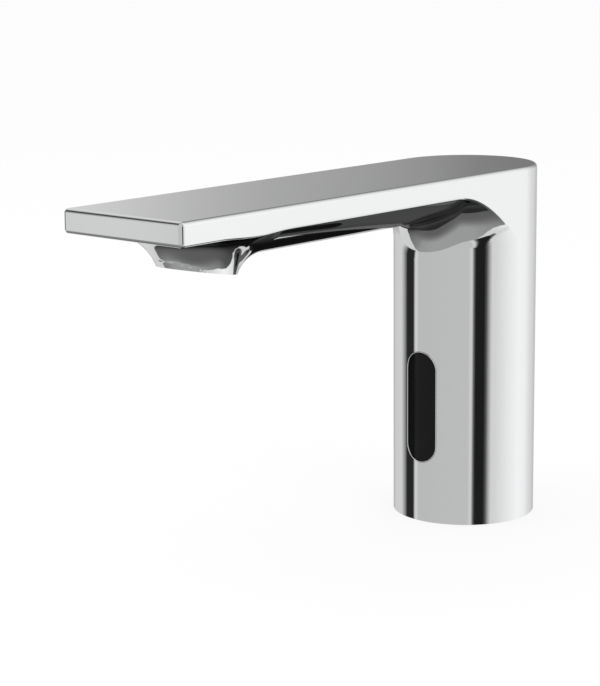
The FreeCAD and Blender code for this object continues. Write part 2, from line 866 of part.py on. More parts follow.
def cable_gland():
    """Rubber grommet for the power lead, with its flange above the plate."""
    low = 2 * size.foot_inset
    return turned("cable_gland", [(size.gland_bore, low), (size.gland_radius, low), (size.gland_radius,
            foot_top),
                                  (size.gland_flange, foot_top),
                                  (size.gland_flange, foot_top + size.gland_flange_height),
                                  (size.gland_bore, foot_top + size.gland_flange_height)],
                  size.gland_x, size.gland_y)


# ------------------------------------------------------------------ the inlet

thread_wall = size.inlet_thread_radius - size.thread_depth
check_low = size.inlet_bore_floor + size.strainer_height
check_high = check_low + size.check_length
riser_low = check_high + size.riser_seat_gap
check_outer = size.inlet_bore - size.fit_gap
head_low = check_low + size.check_floor + 0.2
head_high = head_low + size.check_head_height
guide_low = check_high - size.check_guide_thickness


def inlet_union():
    """Brass union: the hose screws in below, the non-return valve and the riser sit in its bore."""
    low = size.foot_inset
    flange_top = foot_top + size.inlet_flange_height
    return turned("inlet_union", [
        (thread_wall, low), (size.inlet_sleeve_radius, low), (size.inlet_sleeve_radius, foot_top),
        (size.inlet_flange_radius, foot_top), (size.inlet_flange_radius, flange_top),
        (size.inlet_body_radius, flange_top), (size.inlet_body_radius, size.inlet_body_top),
        (size.inlet_bore, size.inlet_body_top), (size.inlet_bore, size.inlet_bore_floor),
        (size.inlet_throat, size.inlet_bore_floor), (size.inlet_throat, size.inlet_thread_depth + low),
        (thread_wall, size.inlet_thread_depth + low),
    ], y=size.inlet_y)


def inlet_strainer():
    """Rimmed disc with rings of small holes."""
    low = size.inlet_bore_floor
    outer = check_outer
    sheet_z = low + size.strainer_sheet
    disc = turned("strainer_disc", [(0, low), (outer, low), (outer, low + size.strainer_height),
                                    (outer - size.strainer_rim, low + size.strainer_height),
                                    (outer - size.strainer_rim, sheet_z), (0, sheet_z)], y=size.inlet_y)
    holes = ringed_holes("strainer_hole", size.strainer_hole, (low - 1, sheet_z + 1), 1.15, 3, size.inlet_y)
    return cut("inlet_strainer", disc, *holes)


def ringed_holes(name, radius, z, pitch, rings, y):
    """A hole in the middle and rings of 6, 12, 18 ... holes round it."""
    holes = [drum(name + "_0_0", radius, z, y=y)]
    for ring_number in range(1, rings + 1):
        for place_number in range(6 * ring_number):
            angle = math.pi / 3 * place_number / ring_number
            reach = pitch * ring_number
            holes.append(drum(name + "_" + str(ring_number) + "_" + str(place_number), radius, z,
                              reach * math.cos(angle), reach * math.sin(angle) + y))
    return holes


def check_valve_housing():
    """Plastic cartridge: seat below, open guide plate above."""
    port = size.check_port
    body = turned("check_shell", [
        (port, check_low), (check_outer, check_low), (check_outer, check_high),
        (size.check_stem + size.fit_gap, check_high), (size.check_stem + size.fit_gap, guide_low),
        (size.check_bore, guide_low), (size.check_bore, check_low + size.check_floor),
        (port, check_low + size.check_floor),
    ], y=size.inlet_y)
    windows = [drum("check_window_" + str(n), 0.8, (guide_low - 1, check_high + 1),
                    2.3 * math.cos(math.pi / 3 * n), 2.3 * math.sin(math.pi / 3 * n) + size.inlet_y)
               for n in range(6)]
    return cut("check_valve_housing", body, *windows)


def check_valve_poppet():
    """Disc with a stem that slides in the guide plate."""
    stem_top = check_high + size.check_stem_reach
    return turned("check_valve_poppet", [
        (0, head_low), (size.check_port - 0.3, head_low), (size.check_head, head_low + 0.5),
        (size.check_head, head_high), (size.check_stem, head_high), (size.check_stem, stem_top), (0,
        stem_top),
    ], y=size.inlet_y)


def riser_tube():
    """Brass tube with a plug and a ring groove at each end."""
    foot_high = riser_low + size.riser_foot_length
    head_start = riser_high - size.riser_head_length
    plug = check_outer
    groove = plug - size.ring_depth
    return turned("riser_tube", [
        (size.riser_bore, riser_low), (plug, riser_low),
        (plug, lower_groove), (groove, lower_groove), (groove, lower_groove + size.ring_groove),
        (plug, lower_groove + size.ring_groove), (plug, foot_high), (size.riser_radius, foot_high),
        (size.riser_radius, head_start), (plug, head_start), (plug, upper_groove), (groove, upper_groove),
        (groove, upper_groove + size.ring_groove), (plug, upper_groove + size.ring_groove), (plug,
        riser_high),
        (size.riser_bore, riser_high),
    ], y=size.inlet_y)


port_floor = ceiling - size.port_boss_drop + size.riser_head_length + 0.7
riser_high = port_floor - size.riser_clear
lower_groove = riser_low + size.riser_foot_length / 2 - size.ring_groove / 2
upper_groove = riser_high - size.riser_head_length / 2 - size.ring_groove / 2
groove_ring = check_outer - size.ring_depth / 2


def riser_seals():
    rings = [ring("riser_seal_" + str(n), groove_ring, size.ring_section, low + size.ring_groove / 2,
                  y=size.inlet_y)
             for n, low in enumerate((lower_groove, upper_groove))]
    return grouped("riser_seals", rings)


# ------------------------------------------------------------------ the solenoid valve

seat_low = valve_under + size.seat_gap
cover_high = valve_under
recess_floor = valve_under - size.diaphragm_thickness
pilot_high = recess_floor
pilot_low = pilot_high - size.pilot_plate_thickness
cover_inner_floor = pilot_low - size.pilot_travel - size.pilot_floor_gap
cover_low = cover_inner_floor - size.cover_floor
core_low = cover_inner_floor - size.core_length
pole_top = core_low + size.core_pole
plunger_low = pole_top + size.pole_gap
plunger_shoulder_z = pilot_low - size.plunger_shoulder


def square_block(name, half, corner, z):
    """A square block about the valve's axis with rounded corners."""
    across = box(name + "_x", (-half, half), (valve_y - half + corner, valve_y + half - corner), z)
    along = box(name + "_y", (corner - half, half - corner), (valve_y - half, valve_y + half), z)
    posts = [drum(name + "_corner_" + str(n), corner, z, sx * (half - corner),
                  valve_y + sy * (half - corner))
             for n, (sx, sy) in enumerate(((-1, -1), (-1, 1), (1, -1), (1, 1)))]
    return fused(name, across, along, *posts)


def valve_corners():
    reach = size.valve_screw_offset
    return [(sx * reach, valve_y + sy * reach) for sx, sy in ((-1, -1), (-1, 1), (1, -1), (1, 1))]


def valve_body():
    """Plastic valve body: inlet port behind, ring chamber round the seat, outlet spigot above, two ears."""
    block = square_block("valve_block", size.valve_half_width, size.valve_corner, (valve_under, ceiling))
    spigot = drum("valve_spigot", size.spigot_radius, (ceiling - 1, ceiling + size.spigot_length),
                  y=valve_y)
    boss_low = ceiling - size.port_boss_drop
    port = drum("valve_port", size.port_boss_radius, (boss_low, ceiling), y=size.inlet_y)
    web = box("valve_web", (-size.port_boss_radius, size.port_boss_radius), (valve_y, size.inlet_y),
              (valve_under, ceiling))
    ears = box("valve_ears", (-size.ear_reach, size.ear_reach),
               (size.ear_y - size.ear_depth / 2, size.ear_y + size.ear_depth / 2),
               (ceiling - size.ear_height, ceiling))
    solid = fused("valve_solid", block, spigot, port, web, ears)
    chamber = turned("valve_chamber", [
        (size.seat_radius, valve_under - 1), (size.chamber_radius, valve_under - 1),
        (size.chamber_radius, valve_under + size.chamber_depth), (size.seat_radius,
                                                                  valve_under + size.chamber_depth),
    ], y=valve_y)
    lip = drum("valve_seat_cut", size.seat_radius + 0.5, (valve_under - 1, seat_low), y=valve_y)
    outlet = drum("valve_outlet", size.seat_bore, (valve_under - 1, ceiling + size.spigot_length + 1),
                  y=valve_y)
    port_bore = drum("valve_port_bore", size.inlet_bore, (boss_low - 1, port_floor), y=size.inlet_y)
    throat_z = port_floor + size.port_throat_rise
    upward = drum("valve_port_up", size.port_throat, (port_floor - 1, throat_z + size.port_throat),
                  y=size.inlet_y)
    across = rod("valve_port_across", size.port_throat - size.fit_gap, (valve_y + size.chamber_radius - 1,
            size.inlet_y), z=throat_z)
    groove_z = ceiling + size.spigot_ring_height
    groove = turned("valve_spigot_groove", [
        (size.spigot_radius - size.ring_depth, groove_z), (size.spigot_radius + 1, groove_z),
        (size.spigot_radius + 1, groove_z + size.ring_groove),
        (size.spigot_radius - size.ring_depth, groove_z + size.ring_groove),
    ], y=valve_y)
    holes = [drum("valve_screw_hole_" + str(n), size.valve_screw_radius + size.screw_gap,
                  (valve_under - 1, valve_under + size.valve_screw_bite + 0.5), x, y)
             for n, (x, y) in enumerate(valve_corners())]
    holes += [drum("valve_ear_hole_" + str(side + 1), size.foot_screw_radius + size.fit_gap,
                   (ceiling - size.ear_height - 1, ceiling + 1), side * size.ear_x,
                   size.ear_y) for side in (-1, 1)]
    return cut("valve_body", solid, chamber, lip, outlet, port_bore, upward, across, groove, *holes)


def outlet_spigot_seal():
    return ring("outlet_spigot_seal", size.spigot_radius - size.ring_depth / 2, size.ring_section,
                ceiling + size.spigot_ring_height + size.ring_groove / 2, y=valve_y)


def diaphragm():
    """Rubber disc clamped between cover and body."""
    return turned("diaphragm", [(size.diaphragm_hole, recess_floor), (size.diaphragm_radius, recess_floor),
                                (size.diaphragm_radius, valve_under - size.spring_gap),
                                (size.diaphragm_hole, valve_under - size.spring_gap)],
                  y=valve_y)


def pilot_plate():
    """Stiff plate under the diaphragm, with a hub through it and the pilot hole."""
    hub_top = valve_under + size.pilot_hub_rise
    return turned("pilot_plate", [
        (size.pilot_hole, pilot_low), (size.plate_radius, pilot_low), (size.plate_radius, pilot_high),
        (size.pilot_hub, pilot_high), (size.pilot_hub, hub_top), (size.pilot_hole, hub_top),
    ], y=valve_y)


def valve_cover():
    """Plastic cover below the diaphragm, with the pilot chamber and the core tube's seat."""
    block = square_block("cover_block", size.valve_half_width, size.valve_corner, (cover_low, cover_high))
    recess = drum("cover_recess", size.diaphragm_radius + size.fit_gap, (recess_floor, cover_high + 1),
                  y=valve_y)
    chamber = drum("cover_chamber", size.pilot_chamber_radius, (cover_inner_floor, recess_floor + 1),
                   y=valve_y)
    seat = drum("cover_core_seat", size.core_flange_radius + size.fit_gap,
                (cover_inner_floor - size.core_flange_height, cover_inner_floor + 1), y=valve_y)
    hole = drum("cover_core_hole", size.core_radius + size.fit_gap, (cover_low - 1, cover_inner_floor + 1),
                y=valve_y)
    holes = [drum("cover_screw_hole_" + str(n), size.valve_screw_radius + size.fit_gap, (cover_low - 1,
            cover_high + 1),
                  x, y) for n, (x, y) in enumerate(valve_corners())]
    return cut("valve_cover", block, recess, chamber, seat, hole, *holes)


def valve_screws():
    screws = [headed_screw("valve_screw_" + str(n), x, y, cover_low, size.valve_screw_radius,
                           size.valve_screw_head,
                           size.valve_screw_head_height, cover_high - cover_low + size.valve_screw_bite)
              for n, (x, y) in enumerate(valve_corners())]
    return grouped("valve_screws", screws)


def core_tube():
    """Steel armature tube, closed below by its fixed pole, with a flange held in the cover."""
    flange_low = cover_inner_floor - size.core_flange_height
    return turned("core_tube", [
        (0, core_low), (size.core_radius, core_low), (size.core_radius, flange_low),
        (size.core_flange_radius, flange_low), (size.core_flange_radius, cover_inner_floor),
        (size.core_bore, cover_inner_floor), (size.core_bore, pole_top), (0, pole_top),
    ], y=valve_y)


def plunger():
    """Magnetic plunger: its tip closes the pilot hole, its foot holds the spring."""
    tip_top = pilot_low - 0.05
    wide = size.core_bore - size.plunger_gap
    pocket_top = plunger_low + size.plunger_pocket_depth
    return turned("plunger", [
        (size.plunger_pocket, plunger_low), (wide, plunger_low), (wide, plunger_shoulder_z),
        (size.plunger_tip, plunger_shoulder_z + 0.6), (size.plunger_tip, tip_top), (0, tip_top), (0,
        pocket_top),
        (size.plunger_pocket, pocket_top),
    ], y=valve_y)


def plunger_spring():
    return coiled("plunger_spring", size.plunger_spring_radius, size.plunger_wire,
                  size.plunger_spring_turns,
                  (pole_top + size.spring_gap, plunger_low + size.plunger_pocket_depth - size.spring_gap),
                  y=valve_y)


def check_valve_spring():
    return coiled("check_valve_spring", size.check_spring_radius, size.check_wire, size.check_spring_turns,
                  (head_high + size.spring_gap, guide_low - size.spring_gap), y=size.inlet_y)


# ------------------------------------------------------------------ the coil

yoke_high = cover_low - size.yoke_gap
yoke_inner_high = yoke_high - size.yoke_thickness
bobbin_high = yoke_inner_high - size.yoke_gap
bobbin_low = bobbin_high - size.bobbin_height
yoke_inner_low = bobbin_low - size.yoke_gap
yoke_low = yoke_inner_low - size.yoke_thickness
bobbin_bore = size.core_radius + size.fit_gap
bobbin_tube = bobbin_bore + size.bobbin_wall


def coil_yoke():
    """Steel frame round the coil, open in front and behind."""
    half = size.yoke_half_width
    depth = size.yoke_half_depth
    thick = size.yoke_thickness
    block = box("yoke_block", (-half, half), (valve_y - depth, valve_y + depth), (yoke_low, yoke_high))
    inner = box("yoke_inner", (thick - half, half - thick), (valve_y - depth - 1, valve_y + depth + 1),
                (yoke_inner_low, yoke_inner_high))
    hole = drum("yoke_hole", bobbin_bore, (yoke_low - 1, yoke_high + 1), y=valve_y)
    return cut("coil_yoke", block, inner, hole)


def coil_bobbin():
    """Plastic spool with the lead's socket on its front."""
    flange = size.bobbin_flange
    rise = size.bobbin_flange_height
    spool = turned("bobbin_spool", [
        (bobbin_bore, bobbin_low), (flange, bobbin_low), (flange, bobbin_low + rise), (bobbin_tube,
        bobbin_low + rise),
        (bobbin_tube, bobbin_high - rise), (flange, bobbin_high - rise), (flange, bobbin_high),
        (bobbin_bore, bobbin_high),
    ], y=valve_y)
    half = size.socket_half_width
    front = valve_y - flange - size.socket_depth
    back = valve_y - size.winding_radius - 0.2
    socket = box("bobbin_socket", (-half, half), (front, back), (bobbin_low,
                                                                 bobbin_low + size.socket_height))
    return fused("coil_bobbin", spool, socket)


def coil_winding():
    """Enamelled copper winding."""
    low = bobbin_low + size.bobbin_flange_height + size.winding_gap
    high = bobbin_high - size.bobbin_flange_height - size.winding_gap
    inner = bobbin_tube + size.winding_gap
    return turned("coil_winding", [(inner, low), (size.winding_radius, low), (size.winding_radius, high),
                                   (inner, high)], y=valve_y)


def coil_clip():
    """Spring ring that holds the yoke on the core tube."""
    bore = size.core_radius + size.screw_gap
    low = yoke_low - size.coil_nut_height
    return turned("coil_clip", [(bore, low), (size.coil_nut_radius, low), (size.coil_nut_radius, yoke_low),
                                (bore, yoke_low)], y=valve_y)


def coil_lead():
    """The sensor's lead to the coil: straight up from the housing into the coil's socket."""
    return drum("coil_lead", size.lead_radius, (housing_high - size.housing_wall, bobbin_low), y=socket_y)


# ------------------------------------------------------------------ the outlet insert

insert_radius = size.outlet_bore - size.insert_fit
insert_bore = insert_radius - size.insert_wall
ledge_radius = insert_bore - size.insert_lip
insert_high = size.outlet_bore_depth - size.washer_thickness
jet_low = size.insert_recess + size.insert_lip_height
jet_high = jet_low + size.jet_disc_height
screen_high = jet_high + size.screen_height
mixer_high = screen_high + size.mixer_height
disc_radius = insert_bore - size.insert_fit


def outlet_turned(name, points):
    """A turned piece in the outlet's own slanted frame, heights measured from the rim."""
    body = turned(name, points)
    return seated_in_outlet(body, 0)


def outlet_holes(name, radius, low, high, pitch, rings):
    """A middle hole and rings of holes, all along the outlet's slanted axis."""
    spots = [(0.0, 0.0)]
    for ring_number in range(1, rings + 1):
        for place_number in range(6 * ring_number):
            angle = math.pi / 3 * place_number / ring_number
            spots.append((ring_number * math.cos(angle), ring_number * math.sin(angle)))
    holes = []
    for number, (across, along) in enumerate(spots):
        hole = doc.addObject("Part::Cylinder", name + "_" + str(number))
        bind(hole, "Radius", radius)
        bind(hole, "Height", as_size(high) - low)
        shift = OUTLET_TURN.multVec(Vector(0, 1, 0))
        depth = as_size(low)
        place(hole, pitch * across, boss_y + depth * outlet_up.y + pitch * along * shift.y,
              rim_height + depth * outlet_up.z + pitch * along * shift.z, OUTLET_TURN)
        holes.append(hole)
    return holes


def aerator_housing():
    """Threaded ring recessed in the outlet, with a ledge below and slots for its key."""
    low = size.insert_recess
    shell = outlet_turned("insert_shell", [
        (ledge_radius, low), (insert_radius, low), (insert_radius, insert_high), (insert_bore, insert_high),
        (insert_bore, jet_low), (ledge_radius, jet_low),
    ])
    slots = []
    for number, turn in enumerate((0, 90)):
        slot = doc.addObject("Part::Box", "insert_slot_" + str(number))
        bind(slot, "Length", 2 * insert_radius + 2)
        bind(slot, "Width", size.key_slot_width)
        bind(slot, "Height", size.insert_lip_height + 0.9)
        turned_to = OUTLET_TURN.multiply(FreeCAD.Rotation(Vector(0, 0, 1), turn))
        corner = turned_to.multVec(Vector(1, 0, 0))
        side = turned_to.multVec(Vector(0, 1, 0))
        reach = insert_radius + 1
        half = size.key_slot_width / 2
        depth = size.insert_recess - 0.9
        place(slot, -reach * corner.x - half * side.x,
              boss_y - reach * corner.y - half * side.y + depth * outlet_up.y,
              rim_height - reach * corner.z - half * side.z + depth * outlet_up.z, turned_to)
        slots.append(slot)
    return cut("aerator_housing", shell, *slots)


def jet_disc():
    disc = outlet_turned("jet_blank", [(0, jet_low), (disc_radius, jet_low), (disc_radius, jet_high), (0,
            jet_high)])
    return cut("jet_disc", disc, *outlet_holes("jet_hole", size.jet_hole, jet_low - 1, jet_high + 1,
                                               size.jet_pitch, 3))


def aerator_screen():
    """Rimmed steel screen."""
    rim = disc_radius - size.strainer_rim
    half = jet_high + size.screen_height / 2
    disc = outlet_turned("screen_blank", [(0, jet_high), (disc_radius, jet_high), (disc_radius,
            screen_high),
                                          (rim, screen_high), (rim, half), (0, half)])
    return cut("aerator_screen", disc,
               *outlet_holes("screen_hole", size.strainer_hole, jet_high - 1, screen_high + 1,
                             size.screen_pitch, 5))


def aerator_mixer():
    """Plastic disc whose two rings of ports mixes air in."""
    disc = outlet_turned("mixer_blank", [
        (0, screen_high), (disc_radius - size.mixer_chamfer, screen_high), (disc_radius,
        screen_high + size.mixer_bevel),
        (disc_radius, mixer_high), (0, mixer_high),
    ])
    return cut("aerator_mixer", disc,
               *outlet_holes("mixer_hole", size.strainer_hole * 1.5, screen_high - 1, mixer_high + 1,
                             size.mixer_pitch, 2))


def flow_regulator():
    """Disc with a ring of ports round a raised star hub."""
    hub = size.regulator_hub
    rim = disc_radius - size.regulator_rim
    top_level = mixer_high + size.regulator_height
    disc = outlet_turned("regulator_blank", [
        (0, mixer_high), (disc_radius, mixer_high), (disc_radius, top_level), (rim, top_level),
        (rim, top_level - size.regulator_dish), (hub, top_level - size.regulator_dish), (hub, top_level),
        (0, top_level),
    ])
    ports = outlet_holes("regulator_port", size.regulator_port, mixer_high - 1, top_level + 1,
                         size.regulator_port_ring, 1)[1:]
    return cut("flow_regulator", disc, *ports)


def aerator_seal():
    """Flat rubber ring between the insert and the casting's shoulder."""
    gap = size.window_gap
    return outlet_turned("aerator_seal", [
        (insert_radius - size.washer_width, insert_high + gap / 4), (insert_radius, insert_high + gap / 4),
        (insert_radius, size.outlet_bore_depth - gap / 4),
        (insert_radius - size.washer_width, size.outlet_bore_depth - gap / 4),
    ])


for build in (
    tap_body, sensor_window, window_gasket, sensor_housing, sensor_board, optics_holder, sensor_clip,
    base_plate, deck_seal, cable_gland, inlet_union, inlet_strainer, check_valve_housing,
    check_valve_poppet,
    check_valve_spring, riser_tube, riser_seals, valve_body, outlet_spigot_seal, diaphragm, pilot_plate,
    valve_cover, valve_screws, core_tube, plunger, plunger_spring, coil_yoke, coil_bobbin, coil_winding,
    coil_clip, coil_lead, aerator_housing, jet_disc, aerator_screen, aerator_mixer, flow_regulator,
    aerator_seal,
):
    finished(build())
finished(diode("infrared_sender", sender_z))
finished(diode("infrared_receiver", receiver_z))
finished(screw_pair("base_plate_screws", size.foot_screw_x, size.foot_screw_y, foot_head_top,
                    size.foot_screw_radius, size.foot_screw_head, size.foot_screw_head_height,
                    foot_top + size.foot_screw_grip - foot_head_top))
finished(screw_pair("sensor_clip_screws", size.foot_screw_x, size.foot_screw_y,
                    lug_top + size.clip_thickness,
                    size.clip_screw_radius, size.clip_screw_head, size.clip_screw_head_height,
                    size.clip_screw_grip + size.clip_thickness, False))
finished(screw_pair("valve_mount_screws", size.ear_x, size.ear_y, ceiling - size.ear_height,
                    size.foot_screw_radius, size.foot_screw_head, size.foot_screw_head_height,
                    size.ear_height + size.mount_screw_bite))

# ------------------------------------------------------------------ check and write

doc.recompute()
for item in doc.Objects:
    if "Invalid" in item.State or "Error" in item.State:
        raise RuntimeError(item.Name + " did not build: " + str(item.State))
for piece in PIECES:
    if piece.Shape.isNull() or not piece.Shape.isValid():
        raise RuntimeError(piece.Label + " has no valid shape")

os.makedirs("parts", exist_ok=True)
for piece in PIECES:
    piece.Shape.exportStep("parts/" + piece.Label + ".step")
    print(piece.Label, "solids", len(piece.Shape.Solids), "volume", round(piece.Shape.Volume, 1))
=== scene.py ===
# %% [markdown]
# # A touch-free basin tap in chrome
# The tap is one chromed brass casting with a black sensor window in its column. Everything
# else is inside it or under it: the valve, the sensor, the outlet insert and the inlet.
# This lesson dresses the measured model: it loads it, polishes the casting, gives each
# inner piece its own material, and builds the small studio that chrome needs.

import math
import bmesh
import bpy
import numpy as np
from mathutils import Matrix, Vector


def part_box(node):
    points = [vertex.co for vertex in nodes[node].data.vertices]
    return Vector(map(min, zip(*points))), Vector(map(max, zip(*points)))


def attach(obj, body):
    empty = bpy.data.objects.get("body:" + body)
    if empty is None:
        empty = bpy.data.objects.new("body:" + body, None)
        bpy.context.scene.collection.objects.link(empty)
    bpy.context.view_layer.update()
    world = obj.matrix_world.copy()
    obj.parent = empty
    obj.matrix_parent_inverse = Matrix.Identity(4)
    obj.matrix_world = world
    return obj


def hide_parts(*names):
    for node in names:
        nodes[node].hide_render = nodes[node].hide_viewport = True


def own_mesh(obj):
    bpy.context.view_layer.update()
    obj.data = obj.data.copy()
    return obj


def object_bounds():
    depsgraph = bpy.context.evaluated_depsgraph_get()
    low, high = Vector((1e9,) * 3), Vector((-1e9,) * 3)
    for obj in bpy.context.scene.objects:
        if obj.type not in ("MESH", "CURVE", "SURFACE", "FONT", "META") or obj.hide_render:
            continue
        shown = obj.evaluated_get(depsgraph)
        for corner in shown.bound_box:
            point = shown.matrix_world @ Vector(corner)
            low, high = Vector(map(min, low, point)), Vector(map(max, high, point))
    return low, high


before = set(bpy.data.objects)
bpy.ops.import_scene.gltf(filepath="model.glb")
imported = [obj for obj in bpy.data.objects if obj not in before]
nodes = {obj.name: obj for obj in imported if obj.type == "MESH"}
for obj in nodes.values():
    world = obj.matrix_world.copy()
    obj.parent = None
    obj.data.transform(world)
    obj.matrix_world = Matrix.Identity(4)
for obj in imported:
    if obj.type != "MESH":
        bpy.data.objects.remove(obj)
cad_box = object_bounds()
scene = bpy.context.scene
MM = 0.001
print("loaded", len(nodes), "nodes, box", [list(corner) for corner in cad_box])


# %% [markdown]
# ## Materials from nodes
# Each finish is a small group of nodes: a base colour, how polished it is, and the fine
# marks that making leaves on it. They could be painted images, but a pattern made by nodes
# has no seams and stays sharp from any distance. All of them read Object coordinates, in
# metres, so a mark keeps its real size.

# %% A helper that starts a material
def start_material(name, base, metallic=0.0, roughness=0.5, **shader):
    """A new node material, its Principled shader and a function that adds nodes to it."""
    material = bpy.data.materials.new(name)
    material.use_nodes = True
    tree = material.node_tree
    principled = tree.nodes["Principled BSDF"]
    principled.inputs["Base Color"].default_value = (*base, 1.0)
    principled.inputs["Metallic"].default_value = metallic
    principled.inputs["Roughness"].default_value = roughness
    for socket, value in shader.items():
        principled.inputs[socket.replace("_", " ")].default_value = value

    def add(kind, **values):
        node = tree.nodes.new("ShaderNode" + kind)
        for key, value in values.items():
            if hasattr(node, key):
                setattr(node, key, value)
            else:
                node.inputs[key.replace("_", " ")].default_value = value
        return node

    return material, principled, add, tree.links.new


# %% Helpers for marks: a noise and its spread
# Nearly all of a noise's values lie between these two.
NOISE_LOW, NOISE_HIGH = 0.3, 0.7


def noise(add, link, scale, detail, stretch=None):
    """A noise on Object coordinates, with about that many grains to the metre."""
    source = add("TexCoord").outputs["Object"]
    if stretch:
        mapping = add("Mapping", Scale=stretch)
        link(source, mapping.inputs["Vector"])
        source = mapping.outputs["Vector"]
    texture = add("TexNoise", Scale=scale, Detail=detail)
    link(source, texture.inputs["Vector"])
    return texture.outputs["Fac"]


def between(add, link, factor, low, high):
    """A noise's values, spread from low to high."""
    spread = add("MapRange", From_Min=NOISE_LOW, From_Max=NOISE_HIGH, To_Min=low, To_Max=high)
    link(factor, spread.inputs["Value"])
    return spread.outputs["Result"]


# %% Helpers for marks: two shades, and bumps
def colour_sockets(sockets):
    """A Mix node's colour sockets, which share their names with number and vector ones."""
    return [socket for socket in sockets if socket.type == "RGBA"]


def tint(add, link, factor, dark, light):
    """A colour between dark and light, by the factor."""
    mixed = add("Mix", data_type="RGBA")
    for socket, colour in zip(colour_sockets(mixed.inputs), (dark, light)):
        socket.default_value = (*colour, 1.0)
    link(factor, mixed.inputs["Factor"])
    return colour_sockets(mixed.outputs)[0]


def bump(add, link, principled, height, depth):
    """The height, as a bump that many metres deep."""
    node = add("Bump", Strength=1.0, Distance=depth)
    link(height, node.inputs["Height"])
    link(node.outputs["Normal"], principled.inputs["Normal"])


# %% [markdown]
# ## The chrome
# Bright chrome plating is a mirror, and here it gives back four fifths of the light. Its
# colour hardly matters, its shape and its surroundings do. A perfect mirror looks computed,
# so the polishing is left in it: a faint unevenness of the roughness, and a swell that is
# shallower than a hair and bends the reflections a little.

# %% Chrome
def make_chrome():
    material, principled, add, link = start_material(
        "chrome", (0.80, 0.805, 0.81), metallic=1.0, roughness=0.04)
    polish = noise(add, link, scale=60.0, detail=4.0)
    link(between(add, link, polish, low=0.025, high=0.055), principled.inputs["Roughness"])
    swell = noise(add, link, scale=14.0, detail=1.0)
    bump(add, link, principled, swell, depth=0.00002)
    return material


# %% [markdown]
# ## The black parts
# The window is a black plastic that infrared light goes through. It is smooth but deep
# black, so its shine is kept low, and its moulded skin is not quite flat. Rubber is dull
# and a little grey where it is rubbed.

# %% Window, rubber and lead
RUBBED = 1.6


def make_window():
    material, principled, add, link = start_material(
        "window_black", (0.0105, 0.0105, 0.0108), roughness=0.08, IOR=1.49,
        Specular_IOR_Level=0.12)
    skin = noise(add, link, scale=90.0, detail=2.0)
    link(between(add, link, skin, low=0.05, high=0.12), principled.inputs["Roughness"])
    bump(add, link, principled, skin, depth=0.00001)
    return material


def make_rubber(name, base, roughness):
    material, principled, add, link = start_material(name, base, roughness=roughness)
    worn = noise(add, link, scale=700.0, detail=4.0)
    lighter = tuple(RUBBED * c for c in base)
    link(tint(add, link, worn, base, lighter), principled.inputs["Base Color"])
    bump(add, link, principled, worn, depth=0.00004)
    return material


# %% [markdown]
# ## Moulded plastic
# A moulded part takes the surface of its steel mould, a fine even grain, and the plastic
# is never quite one shade. The same recipe serves for all of them, in their own colours.

# %% Plastics
MOULDED_SHADE = 0.86
GRAIN_SMOOTHER, GRAIN_ROUGHER = 0.06, 0.08


def make_plastic(name, base, roughness=0.42):
    material, principled, add, link = start_material(name, base, roughness=roughness)
    shade = noise(add, link, scale=120.0, detail=2.0)
    darker = tuple(MOULDED_SHADE * c for c in base)
    link(tint(add, link, shade, darker, base), principled.inputs["Base Color"])
    grain = noise(add, link, scale=2600.0, detail=2.0)
    spread = between(add, link, grain, roughness - GRAIN_SMOOTHER, roughness + GRAIN_ROUGHER)
    link(spread, principled.inputs["Roughness"])
    bump(add, link, principled, grain, depth=0.000012)
    return material


# %% [markdown]
# ## Bare metals
# Turned brass, drawn steel and screws keep the lines of the tool. On a turned part these
# run round it, so the noise is squeezed along the axis and left long round it.

# %% Metals
TOOL_LINES = (90.0, 90.0, 2400.0)
LINE_SHADE = 0.82
LINE_SMOOTHER, LINE_ROUGHER = 0.07, 0.10


def make_metal(name, base, roughness):
    material, principled, add, link = start_material(
        name, base, metallic=1.0, roughness=roughness)
    lines = noise(add, link, scale=1.0, detail=3.0, stretch=TOOL_LINES)
    spread = between(add, link, lines, roughness - LINE_SMOOTHER, roughness + LINE_ROUGHER)
    link(spread, principled.inputs["Roughness"])
    darker = tuple(LINE_SHADE * c for c in base)
    link(tint(add, link, lines, darker, base), principled.inputs["Base Color"])
    bump(add, link, principled, lines, depth=0.000006)
    return material


# %% [markdown]
# ## The electronics
# The board is green lacquer over glass cloth, so a faint weave shows in it. The sender is
# a clear lens and the receiver a nearly black one. The winding is enamelled copper wire, a
# fine thread of grooves round the coil.

# %% Board, lenses and wire
CLOTH = (2400.0, 300.0, 2400.0)
GROOVES = 950.0


def make_board():
    material, principled, add, link = start_material(
        "board_green", (0.02, 0.16, 0.07), roughness=0.30)
    weave = noise(add, link, scale=1.0, detail=1.0, stretch=CLOTH)
    link(tint(add, link, weave, (0.015, 0.12, 0.05), (0.03, 0.20, 0.09)),
         principled.inputs["Base Color"])
    bump(add, link, principled, weave, depth=0.00001)
    return material


def make_lens(name, base, transmission):
    material, principled, add, link = start_material(
        name, base, roughness=0.08, IOR=1.5, Transmission_Weight=transmission)
    cloud = noise(add, link, scale=500.0, detail=2.0)
    link(between(add, link, cloud, low=0.05, high=0.14), principled.inputs["Roughness"])
    return material


def make_wire():
    material, principled, add, link = start_material(
        "copper_wire", (0.50, 0.20, 0.08), metallic=1.0, roughness=0.28)
    turns = add("TexWave", wave_type="BANDS", bands_direction="Z", Scale=GROOVES)
    place = add("TexCoord")
    link(place.outputs["Object"], turns.inputs["Vector"])
    link(tint(add, link, turns.outputs["Fac"], (0.30, 0.10, 0.03), (0.62, 0.27, 0.11)),
         principled.inputs["Base Color"])
    bump(add, link, principled, turns.outputs["Fac"], depth=0.00008)
    return material


# %% [markdown]
# ## One material for each finish in the record
# The measured model says which finish each piece has. The nodes whose shape is right keep
# their mesh, and only their slots get the new material.

